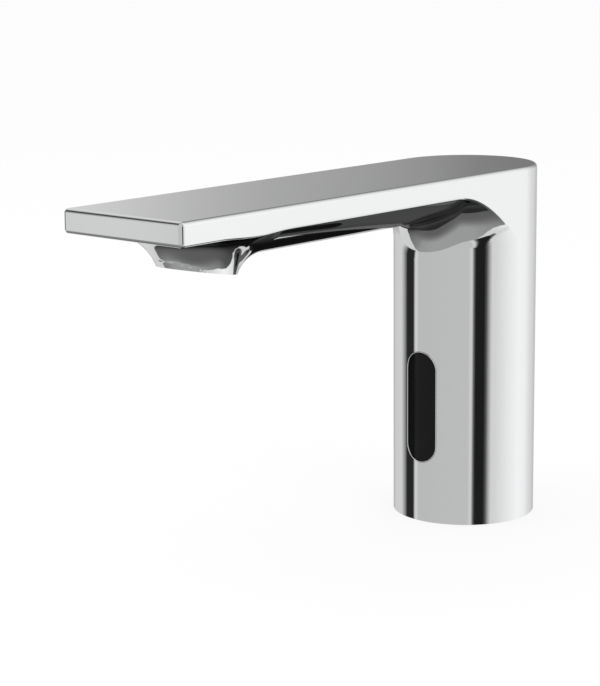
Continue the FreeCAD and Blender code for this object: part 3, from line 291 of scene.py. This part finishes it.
# %% Make the finishes and give them to the nodes
finishes = {
    "chrome": make_chrome(),
    "window_black": make_window(),
    "rubber_black": make_rubber("rubber_black", (0.022, 0.022, 0.022), 0.72),
    "lead_black": make_rubber("lead_black", (0.030, 0.030, 0.032), 0.55),
    "housing_plastic": make_plastic("housing_plastic", (0.045, 0.045, 0.050)),
    "valve_plastic": make_plastic("valve_plastic", (0.72, 0.72, 0.68)),
    "insert_plastic": make_plastic("insert_plastic", (0.50, 0.51, 0.53), 0.38),
    "check_plastic": make_plastic("check_plastic", (0.05, 0.16, 0.36), 0.36),
    "machined_brass": make_metal("machined_brass", (0.74, 0.55, 0.26), 0.24),
    "stainless": make_metal("stainless", (0.62, 0.62, 0.62), 0.30),
    "screw_steel": make_metal("screw_steel", (0.55, 0.55, 0.56), 0.32),
    "magnet_steel": make_metal("magnet_steel", (0.44, 0.44, 0.45), 0.38),
    "board_green": make_board(),
    "diode_clear": make_lens("diode_clear", (0.80, 0.86, 0.95), 0.85),
    "diode_dark": make_lens("diode_dark", (0.03, 0.012, 0.022), 0.0),
    "copper_wire": make_wire(),
}
painted = 0
for name, node in nodes.items():
    for slot in node.material_slots:
        key = slot.material.name.split(".")[0] if slot.material else ""
        match = next((f for f in finishes if key == f or key.endswith(f)), None)
        if match:
            slot.material = finishes[match]
            painted += 1
        else:
            print("no finish for", name, key)
print("painted", painted, "slots")


# %% [markdown]
# ## The casting
# The casting comes from the measured model as loose flat triangles, which a mirror would
# show as facets. It could be modelled again, or smoothed by guessing a normal from the
# triangles round each corner. But every surface of it is known: flats, round bars, and
# the rounds that a ball leaves when it rolls along two surfaces. On all of these the
# normal points straight at the ball's path or away from it. So the paths are written down
# here, and each corner of a triangle gets the true normal of the surface it lies on.

# %% Sizes of the casting, in millimetres
COLUMN_RADIUS = 25.0
PLATE_FRONT = -166.5
PLATE_TOP = 124.0
PLATE_UNDER = 116.3
EDGE_ROUND = 1.4
KEEL_RADIUS = 33.0747
KEEL_AXIS = PLATE_UNDER - 9.7 + KEEL_RADIUS
KEEL_NOSE = -120.7
BOSS_Y = -134.7
BOSS_RADIUS = 11.6
# The radius of the ball that rounds each corner under the spout.
ROOT_TO_PLATE, ROOT_TO_KEEL = 18.5, 14.0
BOSS_TO_PLATE, BOSS_TO_KEEL = 16.9, 11.0
# A straight round's axis runs past the casting's ends: below, above and behind it.
BELOW, ABOVE, BEHIND = -50.0, 200.0, 90.0
# A circle is written down in this many steps, and a side edge in four times as many.
STEPS = 720


# %% Paths that the ball's centre follows
def circle_path(y, radius, height):
    """A level circle round an upright axis, its height a number or a function of x and y."""
    turn = np.linspace(0.0, math.tau, STEPS + 1)
    across, along = radius * np.cos(turn), y + radius * np.sin(turn)
    up = height(across, along) if callable(height) else np.full_like(across, height)
    return np.stack([across, along, up], axis=1)


def over_keel(clearance):
    """The height of a ball under the round keel and its ball nose, that far from its axis."""
    def height(across, along):
        beyond = np.minimum(along - KEEL_NOSE, 0.0)
        return KEEL_AXIS - np.sqrt(clearance ** 2 - across ** 2 - beyond ** 2)
    return height


def side_path(side):
    """Inside the plate's lower side edge, which rises over the root's and the boss's rounds."""
    inner = COLUMN_RADIUS - EDGE_ROUND
    along = np.linspace(PLATE_FRONT + EDGE_ROUND, 0.0, 4 * STEPS)
    height = np.full_like(along, PLATE_UNDER + EDGE_ROUND)
    for y, post, blend in ((0.0, COLUMN_RADIUS, ROOT_TO_PLATE),
                           (BOSS_Y, BOSS_RADIUS, BOSS_TO_PLATE)):
        ring = post + blend
        reach = ring - np.hypot(inner, along - y)
        arch = np.sqrt(np.maximum((blend + EDGE_ROUND) ** 2 - reach ** 2, 0.0))
        height = np.where(reach > 0, PLATE_UNDER - blend + arch, height)
    return np.stack([np.full_like(along, side * inner), along, height], axis=1)


def plate_outline():
    """The D of the plate's upper edge, as far in as the edge is round."""
    inner = COLUMN_RADIUS - EDGE_ROUND
    turn = np.linspace(0.0, math.pi, STEPS)
    front = PLATE_FRONT + EDGE_ROUND
    plan = [(inner, front), *zip(inner * np.cos(turn), inner * np.sin(turn)),
            (-inner, front), (inner, front)]
    height = PLATE_TOP - EDGE_ROUND
    return np.array([(x, y, height) for x, y in plan])


def front_path():
    """The plate's front edges below the top one: down, across and up."""
    inner = COLUMN_RADIUS - EDGE_ROUND
    front = PLATE_FRONT + EDGE_ROUND
    low, high = PLATE_UNDER + EDGE_ROUND, PLATE_TOP - EDGE_ROUND
    corners = [(inner, high), (inner, low), (-inner, low), (-inner, high)]
    return np.array([(x, front, z) for x, z in corners])


# A hollow round's normal points at its path (+1), a bulging one's away from it (-1).
SURFACES = {
    "column": (np.array([(0, 0, BELOW), (0, 0, ABOVE)]), COLUMN_RADIUS, -1),
    "keel": (np.array([(0, KEEL_NOSE, KEEL_AXIS), (0, BEHIND, KEEL_AXIS)]), KEEL_RADIUS, -1),
    "root to plate": (circle_path(0.0, COLUMN_RADIUS + ROOT_TO_PLATE,
                                  PLATE_UNDER - ROOT_TO_PLATE), ROOT_TO_PLATE, 1),
    "root to keel": (circle_path(0.0, COLUMN_RADIUS + ROOT_TO_KEEL,
                                 over_keel(KEEL_RADIUS + ROOT_TO_KEEL)), ROOT_TO_KEEL, 1),
    "boss to plate": (circle_path(BOSS_Y, BOSS_RADIUS + BOSS_TO_PLATE,
                                  PLATE_UNDER - BOSS_TO_PLATE), BOSS_TO_PLATE, 1),
    "boss to keel": (circle_path(BOSS_Y, BOSS_RADIUS + BOSS_TO_KEEL,
                                 over_keel(KEEL_RADIUS + BOSS_TO_KEEL)), BOSS_TO_KEEL, 1),
    "upper edge": (plate_outline(), EDGE_ROUND, -1),
    "front edges": (front_path(), EDGE_ROUND, -1),
    "right lower edge": (side_path(1), EDGE_ROUND, -1),
    "left lower edge": (side_path(-1), EDGE_ROUND, -1),
}
print("the casting has", len(SURFACES), "kinds of round")


# %% The nearest point of a path, and the round that a face lies on
# A step of no length must not divide by zero.
TINY = 1e-12
# A face is tried by about this many of its points.
TRIED = 12


def nearest_on(path, points):
    """The point of a path that is nearest to each point."""
    start, step = path[:-1], np.diff(path, axis=0)
    length = np.maximum((step ** 2).sum(axis=1), TINY)
    found = np.empty_like(points)
    for index, point in enumerate(points):
        share = np.clip(((point - start) * step).sum(axis=1) / length, 0.0, 1.0)
        foot = start + share[:, None] * step
        found[index] = foot[((foot - point) ** 2).sum(axis=1).argmin()]
    return found


def fitted(points, loose):
    """The name of the round that the points lie on, or None where none is near enough."""
    sample = points[:: max(1, len(points) // TRIED)]
    misses = {}
    for name, (path, radius, _) in SURFACES.items():
        reach = np.linalg.norm(nearest_on(path, sample) - sample, axis=1)
        misses[name] = np.abs(reach - radius).max()
    best = min(misses, key=misses.get)
    return best if misses[best] < loose else None


# %% Polish creases soft
# Where two of the ball's rounds meet, a buffing wheel rounds the crease. The normals of the
# two are mixed by how far a point is off each of them, in millimetres.
CREASES = (("root to plate", "root to keel"), ("boss to plate", "boss to keel"))
CREASE_SOFT = 0.9


def towards_path(name, points):
    """The normals of one surface at points near it, and how far off it they are."""
    path, radius, sense = SURFACES[name]
    away = nearest_on(path, points) - points
    reach = np.linalg.norm(away, axis=1, keepdims=True)
    return sense * away / reach, np.abs(reach - radius)


def buffed(surface, points, normals):
    """The normals of a surface, mixed with its neighbour's near their crease."""
    for pair in CREASES:
        if surface in pair:
            other = pair[1 - pair.index(surface)]
            other_normals, off = towards_path(other, points)
            # The surface's own share rises smoothly from a half, on the crease, to one.
            own = np.clip(0.5 + 0.5 * off / CREASE_SOFT, 0.0, 1.0)
            own = own * own * (3.0 - 2.0 * own)
            normals = own * normals + (1.0 - own) * other_normals
            normals /= np.linalg.norm(normals, axis=1, keepdims=True)
    return normals


# %% Find the model's own faces
# A round's points lie this close to it, in millimetres, and a flat bends less than this.
FIT = 0.06
FLAT = math.radians(0.05)
ROUNDS = list(SURFACES)


def face_islands(shape):
    """The model's own faces: triangles that still share corners before the weld."""
    waiting = set(shape.faces)
    while waiting:
        island, front = [], [waiting.pop()]
        while front:
            face = front.pop()
            island.append(face)
            for edge in face.edges:
                for other in edge.link_faces:
                    if other in waiting:
                        waiting.remove(other)
                        front.append(other)
        yield island


def label_faces(shape, normal_layer, round_layer):
    """Give flats their one normal, and write on each round's faces which round it is."""
    tally = {}
    for island in face_islands(shape):
        middle = sum((face.normal * face.calc_area() for face in island), Vector())
        middle = middle.normalized()
        if all(face.normal.angle(middle, math.pi) < FLAT for face in island):
            surface = "flat"
            for face in island:
                for corner in face.loops:
                    corner[normal_layer] = middle
        else:
            verts = {vert for face in island for vert in face.verts}
            ordered = sorted(verts, key=lambda vert: vert.index)
            points = np.array([vert.co for vert in ordered]) / MM
            surface = fitted(points, FIT)
            for face in island:
                face[round_layer] = ROUNDS.index(surface) + 1 if surface else 0
        tally[surface] = tally.get(surface, 0) + len(island)
    return tally


# %% Make the rounds finer
# A mirror shows how coarse the triangles are, so the edges inside a round are halved until
# they are short, and the new points move onto the round. A face's outline stays as it is.
FINE = 1.3 * MM
HALVINGS = 3


def refine(shape, round_layer):
    """Halve the long edges inside the rounds, and cut all faces into triangles again."""
    for _ in range(HALVINGS):
        long_edges = [edge for edge in shape.edges
                      if len(edge.link_faces) == 2 and edge.link_faces[0][round_layer]
                      and edge.calc_length() > FINE]
        if long_edges:
            bmesh.ops.subdivide_edges(shape, edges=long_edges, cuts=1)
    bmesh.ops.triangulate(shape, faces=shape.faces)
    shape.verts.index_update()


def settle(shape, normal_layer, round_layer):
    """Move the inner points onto their rounds and give all corners the true normal."""
    for index, surface in enumerate(ROUNDS, start=1):
        faces = [face for face in shape.faces if face[round_layer] == index]
        verts = sorted({vert for face in faces for vert in face.verts}, key=lambda v: v.index)
        if not verts:
            continue
        path, radius, sense = SURFACES[surface]
        points = np.array([vert.co for vert in verts]) / MM
        feet = nearest_on(path, points)
        away = points - feet
        away /= np.linalg.norm(away, axis=1, keepdims=True)
        on_round = (feet + radius * away) * MM
        normals = buffed(surface, points, -sense * away)
        place = {}
        for vert, point, normal in zip(verts, on_round, normals):
            place[vert] = Vector(normal)
            if not any(edge.is_boundary for edge in vert.link_edges):
                vert.co = Vector(point)
        for face in faces:
            for corner in face.loops:
                corner[normal_layer] = place[corner.vert]


# %% Weld the casting and give it its true normals
# Points closer than this, in metres, are one.
WELD = 2e-6


def polished_copy(node, name):
    """A finer, welded copy of a node's mesh with true normals, as its own object."""
    mesh = node.data.copy()
    mesh.name = name
    kept = [corner.vector.copy() for corner in mesh.corner_normals]
    shape = bmesh.new()
    shape.from_mesh(mesh)
    normal_layer = shape.loops.layers.float_vector.new("true_normal")
    round_layer = shape.faces.layers.int.new("round")
    corners = (corner for face in shape.faces for corner in face.loops)
    for corner, normal in zip(corners, kept):
        corner[normal_layer] = normal
    for face in shape.faces:
        face.smooth = True
    print(name, "triangles by surface:", label_faces(shape, normal_layer, round_layer))
    refine(shape, round_layer)
    settle(shape, normal_layer, round_layer)
    before = len(shape.verts)
    bmesh.ops.remove_doubles(shape, verts=shape.verts, dist=WELD)
    print(name, "welded", before, "to", len(shape.verts), "vertices,", len(shape.faces), "faces")
    shape.to_mesh(mesh)
    shape.free()
    stored = mesh.attributes["true_normal"]
    normals = [corner.vector.copy() for corner in stored.data]
    mesh.attributes.remove(stored)
    mesh.attributes.remove(mesh.attributes["round"])
    mesh.normals_split_custom_set(normals)
    piece = bpy.data.objects.new(name, mesh)
    scene.collection.objects.link(piece)
    return piece


casting = polished_copy(nodes["tap_body"], "chromed_casting")
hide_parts("tap_body")
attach(casting, "tap")


# %% [markdown]
# ## The diodes and the springs
# The tip of each diode's dome is a pole, where the measured triangles leave a sliver with
# no area, so a welded copy without it takes the diode's place. Two steel springs are
# pressed together as the valve works. Their coils could be bent by the bodies at their
# ends, but a spring only shortens along its axis. Each is a welded copy too, on its own
# mesh, and keeps its measured length.

# %% A clean copy of a measured piece
# An edge that turns more than this stays sharp, and one shorter than this, in metres, goes.
SHARP = math.radians(40.0)
NO_LENGTH = 1e-7


def welded_copy(name, new_name):
    """A piece that stands for a node: welded, without slivers, smooth up to sharp edges."""
    mesh = nodes[name].data.copy()
    mesh.name = new_name
    if "custom_normal" in mesh.attributes:
        mesh.attributes.remove(mesh.attributes["custom_normal"])
    shape = bmesh.new()
    shape.from_mesh(mesh)
    bmesh.ops.remove_doubles(shape, verts=shape.verts, dist=WELD)
    bmesh.ops.dissolve_degenerate(shape, dist=NO_LENGTH, edges=shape.edges)
    flat = [face for face in shape.faces if face.calc_area() < NO_LENGTH ** 2]
    bmesh.ops.delete(shape, geom=flat, context="FACES")
    for face in shape.faces:
        face.smooth = True
    for edge in shape.edges:
        edge.smooth = edge.calc_face_angle(0.0) < SHARP
    open_edges = sum(edge.is_boundary or not edge.is_manifold for edge in shape.edges)
    print(new_name, "has", len(shape.faces), "faces and", open_edges, "open edges")
    shape.to_mesh(mesh)
    shape.free()
    piece = bpy.data.objects.new(new_name, mesh)
    scene.collection.objects.link(piece)
    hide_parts(name)
    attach(piece, "tap")
    return piece


welded_copy("infrared_sender", "sender_diode")
welded_copy("infrared_receiver", "receiver_diode")


# %% Springs
# The height of each spring's fixed end, and how far its joint goes.
PLUNGER_END, PLUNGER_TRAVEL = 68.3 * MM, 1.2 * MM
CHECK_END, CHECK_TRAVEL = 27.4 * MM, 2.0 * MM


def pressed_spring(name, fixed_end, travel):
    """A welded copy of a spring, measured from its fixed end. Its travel is not used."""
    spring = welded_copy(name, name + "_coil")
    low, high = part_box(name)
    length = max(abs(high[2] - fixed_end), abs(low[2] - fixed_end))
    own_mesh(spring)
    print(spring.name, "is", round(length / MM, 2), "mm long")


pressed_spring("plunger_spring", PLUNGER_END, PLUNGER_TRAVEL)
pressed_spring("check_valve_spring", CHECK_END, CHECK_TRAVEL)


# %% [markdown]
# ## The rim of the window
# The opening's edge is polished to a fine bright bead. It could be bevelled into the
# casting, but a thin round line that follows the opening on the column's curve shows the
# same glint and leaves the casting's surfaces alone.

# %% Window rim
# The window's half width, its lower and upper end, the line's radius and how far outside
# the opening its middle runs, in millimetres.
WINDOW_HALF = 6.15
WINDOW_LOW, WINDOW_HIGH = 21.3, 60.4
RIM_RADIUS = 0.22
RIM_OUT = 0.06
ARC_POINTS = 32


def rim_line():
    """The opening's outline on the column, in metres: two half rounds and two sides."""
    half = WINDOW_HALF + RIM_OUT
    flat = []
    ends = ((WINDOW_HIGH - WINDOW_HALF, 0.0), (WINDOW_LOW + WINDOW_HALF, math.pi))
    for centre, start in ends:
        for turn in np.linspace(start, start + math.pi, ARC_POINTS):
            flat.append((half * math.cos(turn), centre + half * math.sin(turn)))
    return [(x * MM, -math.sqrt(COLUMN_RADIUS ** 2 - x ** 2) * MM, z * MM) for x, z in flat]


def build_rim():
    line = bpy.data.curves.new("window_rim", "CURVE")
    line.dimensions = "3D"
    line.bevel_depth = RIM_RADIUS * MM
    line.bevel_resolution = 4
    points = rim_line()
    spline = line.splines.new("POLY")
    spline.points.add(len(points) - 1)
    for point, place in zip(spline.points, points):
        point.co = (*place, 1.0)
    spline.use_cyclic_u = True
    spline.use_smooth = True
    rim = bpy.data.objects.new("window_rim", line)
    scene.collection.objects.link(rim)
    line.materials.append(finishes["chrome"])
    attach(rim, "tap")
    return rim


rim = build_rim()
print("window rim of", len(rim.data.splines[0].points), "points")


# %% [markdown]
# ## The studio
# Chrome shows its surroundings, so the studio is half of the picture. It has pale walls, a
# grey card in front and two black boards, which draw the dark lines down the column.
# They could be hung round the tap as objects. Here the world itself is shaded by
# direction instead: what a mirror sees depends on the compass angle, and it changes above
# and below. The camera sees plain white, and everything dull gets plain soft light.

# %% The studio by the compass
# Each stop is a compass angle, in degrees from +X towards +Y, and how bright it is there.
# This is the studio about level with the tap.
LOW_RING = (
    (0.0, 0.80), (22.0, 0.97), (46.0, 1.10), (64.0, 1.05), (72.0, 0.95), (80.0, 0.85),
    (92.0, 0.76), (102.0, 0.63), (118.0, 0.54), (140.0, 0.50), (150.0, 0.55),
    (157.0, 0.69), (184.0, 0.75), (192.0, 0.44), (201.0, 0.024), (217.0, 0.024),
    (220.7, 0.74), (224.3, 0.765), (227.7, 0.60), (314.0, 0.62), (317.5, 0.75),
    (319.3, 0.70), (322.0, 0.17), (325.0, 0.015), (339.0, 0.015), (343.0, 0.09),
    (347.5, 0.42), (352.0, 0.77))
# Below the black boards the wall goes on behind them.
WALL_RING = (
    (0.0, 0.80), (22.0, 0.97), (46.0, 1.10), (72.0, 0.95), (92.0, 0.76), (104.0, 0.72),
    (184.0, 0.75), (224.0, 0.75), (228.0, 0.60), (320.0, 0.62), (326.0, 0.74),
    (350.0, 0.78))
# This is the studio above the level.
HIGH_RING = (
    (0.0, 0.80), (22.0, 0.97), (46.0, 1.16), (60.0, 0.99), (80.0, 0.81), (94.0, 0.56),
    (110.0, 0.33), (124.0, 0.19), (126.5, 0.24), (128.3, 0.33), (130.5, 0.39),
    (132.0, 0.42), (133.5, 0.475), (135.0, 0.555), (139.0, 0.79), (175.0, 0.77),
    (188.0, 0.46), (200.0, 0.14), (206.0, 0.05), (214.0, 0.05), (219.0, 0.26), (224.0, 0.70),
    (315.0, 0.62), (341.0, 0.30), (350.0, 0.74))
# And this is the dark table side, which chrome that faces down sees.
STEEP_RING = (
    (0.0, 0.31), (15.0, 0.29), (36.0, 0.22), (55.0, 0.11), (80.0, 0.08), (104.0, 0.035),
    (117.0, 0.006), (136.0, 0.006), (146.0, 0.03), (160.0, 0.12), (185.0, 0.21),
    (211.0, 0.28), (226.0, 0.36), (260.0, 0.40), (320.0, 0.39), (347.0, 0.34))
# How far below level the steep ring begins, in degrees, by the same compass.
STEEP_EDGE = (
    (0.0, 45.5), (18.0, 46.5), (29.0, 45.0), (36.0, 41.5), (55.0, 36.5), (72.0, 37.5),
    (90.0, 46.0), (104.0, 44.0), (113.0, 38.0), (117.0, 19.0), (136.0, 19.0),
    (146.0, 37.0), (166.0, 39.0), (191.0, 35.5), (203.0, 32.5), (217.0, 24.0),
    (225.0, 17.8), (324.0, 17.8), (336.0, 28.0), (347.0, 39.0))
# How soft that edge is, as a height on a sphere of radius 1.
STEEP_SOFT = 0.03

# %% How the rings meet, and the plain lights
# The high ring takes over between these two angles above level, and the wall ring between
# these two below it, in degrees.
HIGH_FROM, HIGH_TO = 0.5, 5.0
BOARD_FROM, BOARD_TO = 17.5, 20.5
# Towards straight down there is one light, whatever the compass says.
DOWN_LIGHT = 0.13
DOWN_FROM, DOWN_TO = 50.0, 90.0
# A ray's Glossy Depth is 1 at the first mirror and 2 at the second. Past this depth the
# studio is dimmer, at this share of its light.
DEEP_FROM = 1.5
DEEP_SHARE = 0.22
# What everything dull is lit by, from all around.
PLAIN_LIGHT = 0.90


def grey(light):
    """A grey colour of that brightness."""
    return (light, light, light, 1.0)


# %% The world and helpers for its nodes
world = bpy.data.worlds.new("studio")
world.use_nodes = True
tree = world.node_tree
tree.nodes.clear()


def feed(value, socket):
    """Link another node's output to a socket, or write a plain value on it."""
    if isinstance(value, bpy.types.NodeSocket):
        tree.links.new(value, socket)
    else:
        socket.default_value = value


def math_node(operation, *values):
    """The result of a sum on one or two values."""
    node = tree.nodes.new("ShaderNodeMath")
    node.operation = operation
    for socket, value in zip(node.inputs, values):
        feed(value, socket)
    return node.outputs[0]


def mix(factor, first, second):
    """Two colours, mixed by a factor."""
    node = tree.nodes.new("ShaderNodeMix")
    node.data_type = "RGBA"
    feed(factor, node.inputs["Factor"])
    for socket, value in zip(colour_sockets(node.inputs), (first, second)):
        feed(value, socket)
    return colour_sockets(node.outputs)[0]


def rise(value, low, high):
    """A smooth step, from 0 where the value is low to 1 where it is high."""
    node = tree.nodes.new("ShaderNodeMapRange")
    node.interpolation_type = "SMOOTHSTEP"
    for name, given in (("Value", value), ("From Min", low), ("From Max", high)):
        feed(given, node.inputs[name])
    return node.outputs["Result"]


def rise_between(value, start, stop):
    """The same for a height, between two angles in degrees."""
    return rise(value, math.sin(math.radians(start)), math.sin(math.radians(stop)))


# %% Rings by the compass
def ring(compass, stops):
    """A closed ramp over the compass, one stop for each pair. The first is at 0 degrees."""
    ramp = tree.nodes.new("ShaderNodeValToRGB")
    elements = ramp.color_ramp.elements
    for end in elements:
        end.color = grey(stops[0][1])
    for angle, light in stops[1:]:
        elements.new(angle / 360.0).color = grey(light)
    feed(compass, ramp.inputs["Fac"])
    return ramp.outputs["Color"]


place = tree.nodes.new("ShaderNodeTexCoord")
direction = tree.nodes.new("ShaderNodeSeparateXYZ")
feed(place.outputs["Generated"], direction.inputs[0])
turn = math_node("ARCTAN2", direction.outputs["Y"], direction.outputs["X"])
compass = math_node("FRACT", math_node("ADD", math_node("DIVIDE", turn, math.tau), 1.0))
low, wall, high, steep = (
    ring(compass, stops) for stops in (LOW_RING, WALL_RING, HIGH_RING, STEEP_RING))
edge = ring(compass, [(angle, math.sin(math.radians(depth))) for angle, depth in STEEP_EDGE])
print("studio of", len(LOW_RING + WALL_RING + HIGH_RING + STEEP_RING), "stops")


# %% What mirrors, dull things and the camera see
height = direction.outputs["Z"]
depth = math_node("MULTIPLY", height, -1.0)
level = mix(rise_between(height, HIGH_FROM, HIGH_TO), low, high)
level = mix(rise_between(depth, BOARD_FROM, BOARD_TO), level, wall)
steep = mix(rise_between(depth, DOWN_FROM, DOWN_TO), steep, grey(DOWN_LIGHT))
studio = mix(rise(depth, edge, math_node("ADD", edge, STEEP_SOFT)), level, steep)

rays = tree.nodes.new("ShaderNodeLightPath")
deep = math_node("GREATER_THAN", rays.outputs["Glossy Depth"], DEEP_FROM)
share = math_node("SUBTRACT", 1.0, math_node("MULTIPLY", deep, 1.0 - DEEP_SHARE))
dimmed = tree.nodes.new("ShaderNodeVectorMath")
dimmed.operation = "SCALE"
feed(studio, dimmed.inputs[0])
feed(share, dimmed.inputs["Scale"])
colour = mix(rays.outputs["Is Glossy Ray"], grey(PLAIN_LIGHT), dimmed.outputs[0])
colour = mix(rays.outputs["Is Camera Ray"], colour, grey(1.0))

background = tree.nodes.new("ShaderNodeBackground")
output = tree.nodes.new("ShaderNodeOutputWorld")
feed(colour, background.inputs["Color"])
feed(background.outputs["Background"], output.inputs["Surface"])
scene.world = world
print("world of", len(tree.nodes), "nodes")


# %% [markdown]
# ## The floor
# The tap stands on a plain white table with only a soft shadow. The floor could be a wide
# card under a lamp, but then chrome would show its edge. It hides from mirrors instead,
# and only the camera and the soft light see it.

# %% Floor
# Its width and the gap that keeps it off the tap's foot, in metres.
FLOOR_SIZE = 60.0
FLOOR_GAP = 0.0001
FLOOR_WHITE = 0.98
# To the camera this share of the floor is plain white, so that it meets the white.
GLOW_SHARE = 0.8


def build_floor():
    shape = bmesh.new()
    bmesh.ops.create_grid(shape, x_segments=1, y_segments=1, size=FLOOR_SIZE / 2)
    mesh = bpy.data.meshes.new("floor")
    shape.to_mesh(mesh)
    shape.free()
    floor = bpy.data.objects.new("floor", mesh)
    scene.collection.objects.link(floor)
    floor.location.z = cad_box[0][2] - FLOOR_GAP
    material, principled, add, link = start_material(
        "floor_white", (FLOOR_WHITE,) * 3, roughness=0.9, Specular_IOR_Level=0.0)
    rays = add("LightPath")
    glow = add("Emission")
    both = add("MixShader", Fac=GLOW_SHARE)
    link(rays.outputs["Is Camera Ray"], glow.inputs["Strength"])
    link(principled.outputs["BSDF"], both.inputs[1])
    link(glow.outputs["Emission"], both.inputs[2])
    # From below the table is clear, so that the foot of the tap can be looked at.
    side = add("NewGeometry")
    clear = add("BsdfTransparent")
    seen = add("MixShader")
    link(side.outputs["Backfacing"], seen.inputs[0])
    link(both.outputs[0], seen.inputs[1])
    link(clear.outputs[0], seen.inputs[2])
    output = material.node_tree.nodes["Material Output"]
    link(seen.outputs[0], output.inputs["Surface"])
    mesh.materials.append(material)
    floor.visible_glossy = False
    return floor


floor = build_floor()
print("floor at", floor.location.z)


# %% [markdown]
# ## The lamps
# Two large soft lamps shape what is dull: one high on the left, one lower on the right. They
# hide from mirrors too, because the compass already holds what the chrome should show.

# %% Lamps
def soft_lamp(name, place, aim, size, power):
    """A square lamp that only dull things see, its size in metres, its power in watts."""
    light = bpy.data.lights.new(name, "AREA")
    light.shape = "SQUARE"
    light.size = size
    light.energy = power
    lamp = bpy.data.objects.new(name, light)
    scene.collection.objects.link(lamp)
    lamp.location = place
    lamp.rotation_euler = (Vector(aim) - Vector(place)).to_track_quat("-Z", "Y").to_euler()
    lamp.visible_glossy = False
    print(name, "of", power, "W")


middle = (Vector(cad_box[0]) + Vector(cad_box[1])) / 2
soft_lamp("high_left", place=(-0.5, -0.9, 1.1), aim=middle, size=0.9, power=4.0)
soft_lamp("low_right", place=(1.0, -0.3, 0.6), aim=middle, size=0.8, power=2.0)


# %% [markdown]
# ## The camera
# The photograph was taken from the front right, a little above the top of the tap and
# from about 0.75 m. The place and lens were found by matching points of the measured
# model to the same points in the picture.

# %% Camera
# Where it stands, in metres, how it is turned, in degrees, and its lens, in millimetres.
EYE = (0.4457, -0.5928, 0.2099)
YAW, PITCH, ROLL = 41.44, -11.44, -0.537
LENS, SENSOR = 111.59, 36.0


def build_camera():
    yaw, pitch, roll = (math.radians(a) for a in (YAW, PITCH, ROLL))
    ahead = Vector((-math.sin(yaw) * math.cos(pitch), math.cos(yaw) * math.cos(pitch),
                    math.sin(pitch)))
    level = Vector((math.cos(yaw), math.sin(yaw), 0.0))
    above = level.cross(ahead)
    right = math.cos(roll) * level + math.sin(roll) * above
    up = -math.sin(roll) * level + math.cos(roll) * above
    data = bpy.data.cameras.new("camera")
    data.sensor_width = SENSOR
    data.lens = LENS
    data.clip_start = 0.01
    camera = bpy.data.objects.new("camera", data)
    scene.collection.objects.link(camera)
    turn = Matrix((right, up, -ahead)).transposed().to_4x4()
    camera.matrix_world = Matrix.Translation(EYE) @ turn
    return camera


scene.camera = build_camera()
scene.view_settings.view_transform = "Standard"
print("camera at", EYE, "lens", LENS)
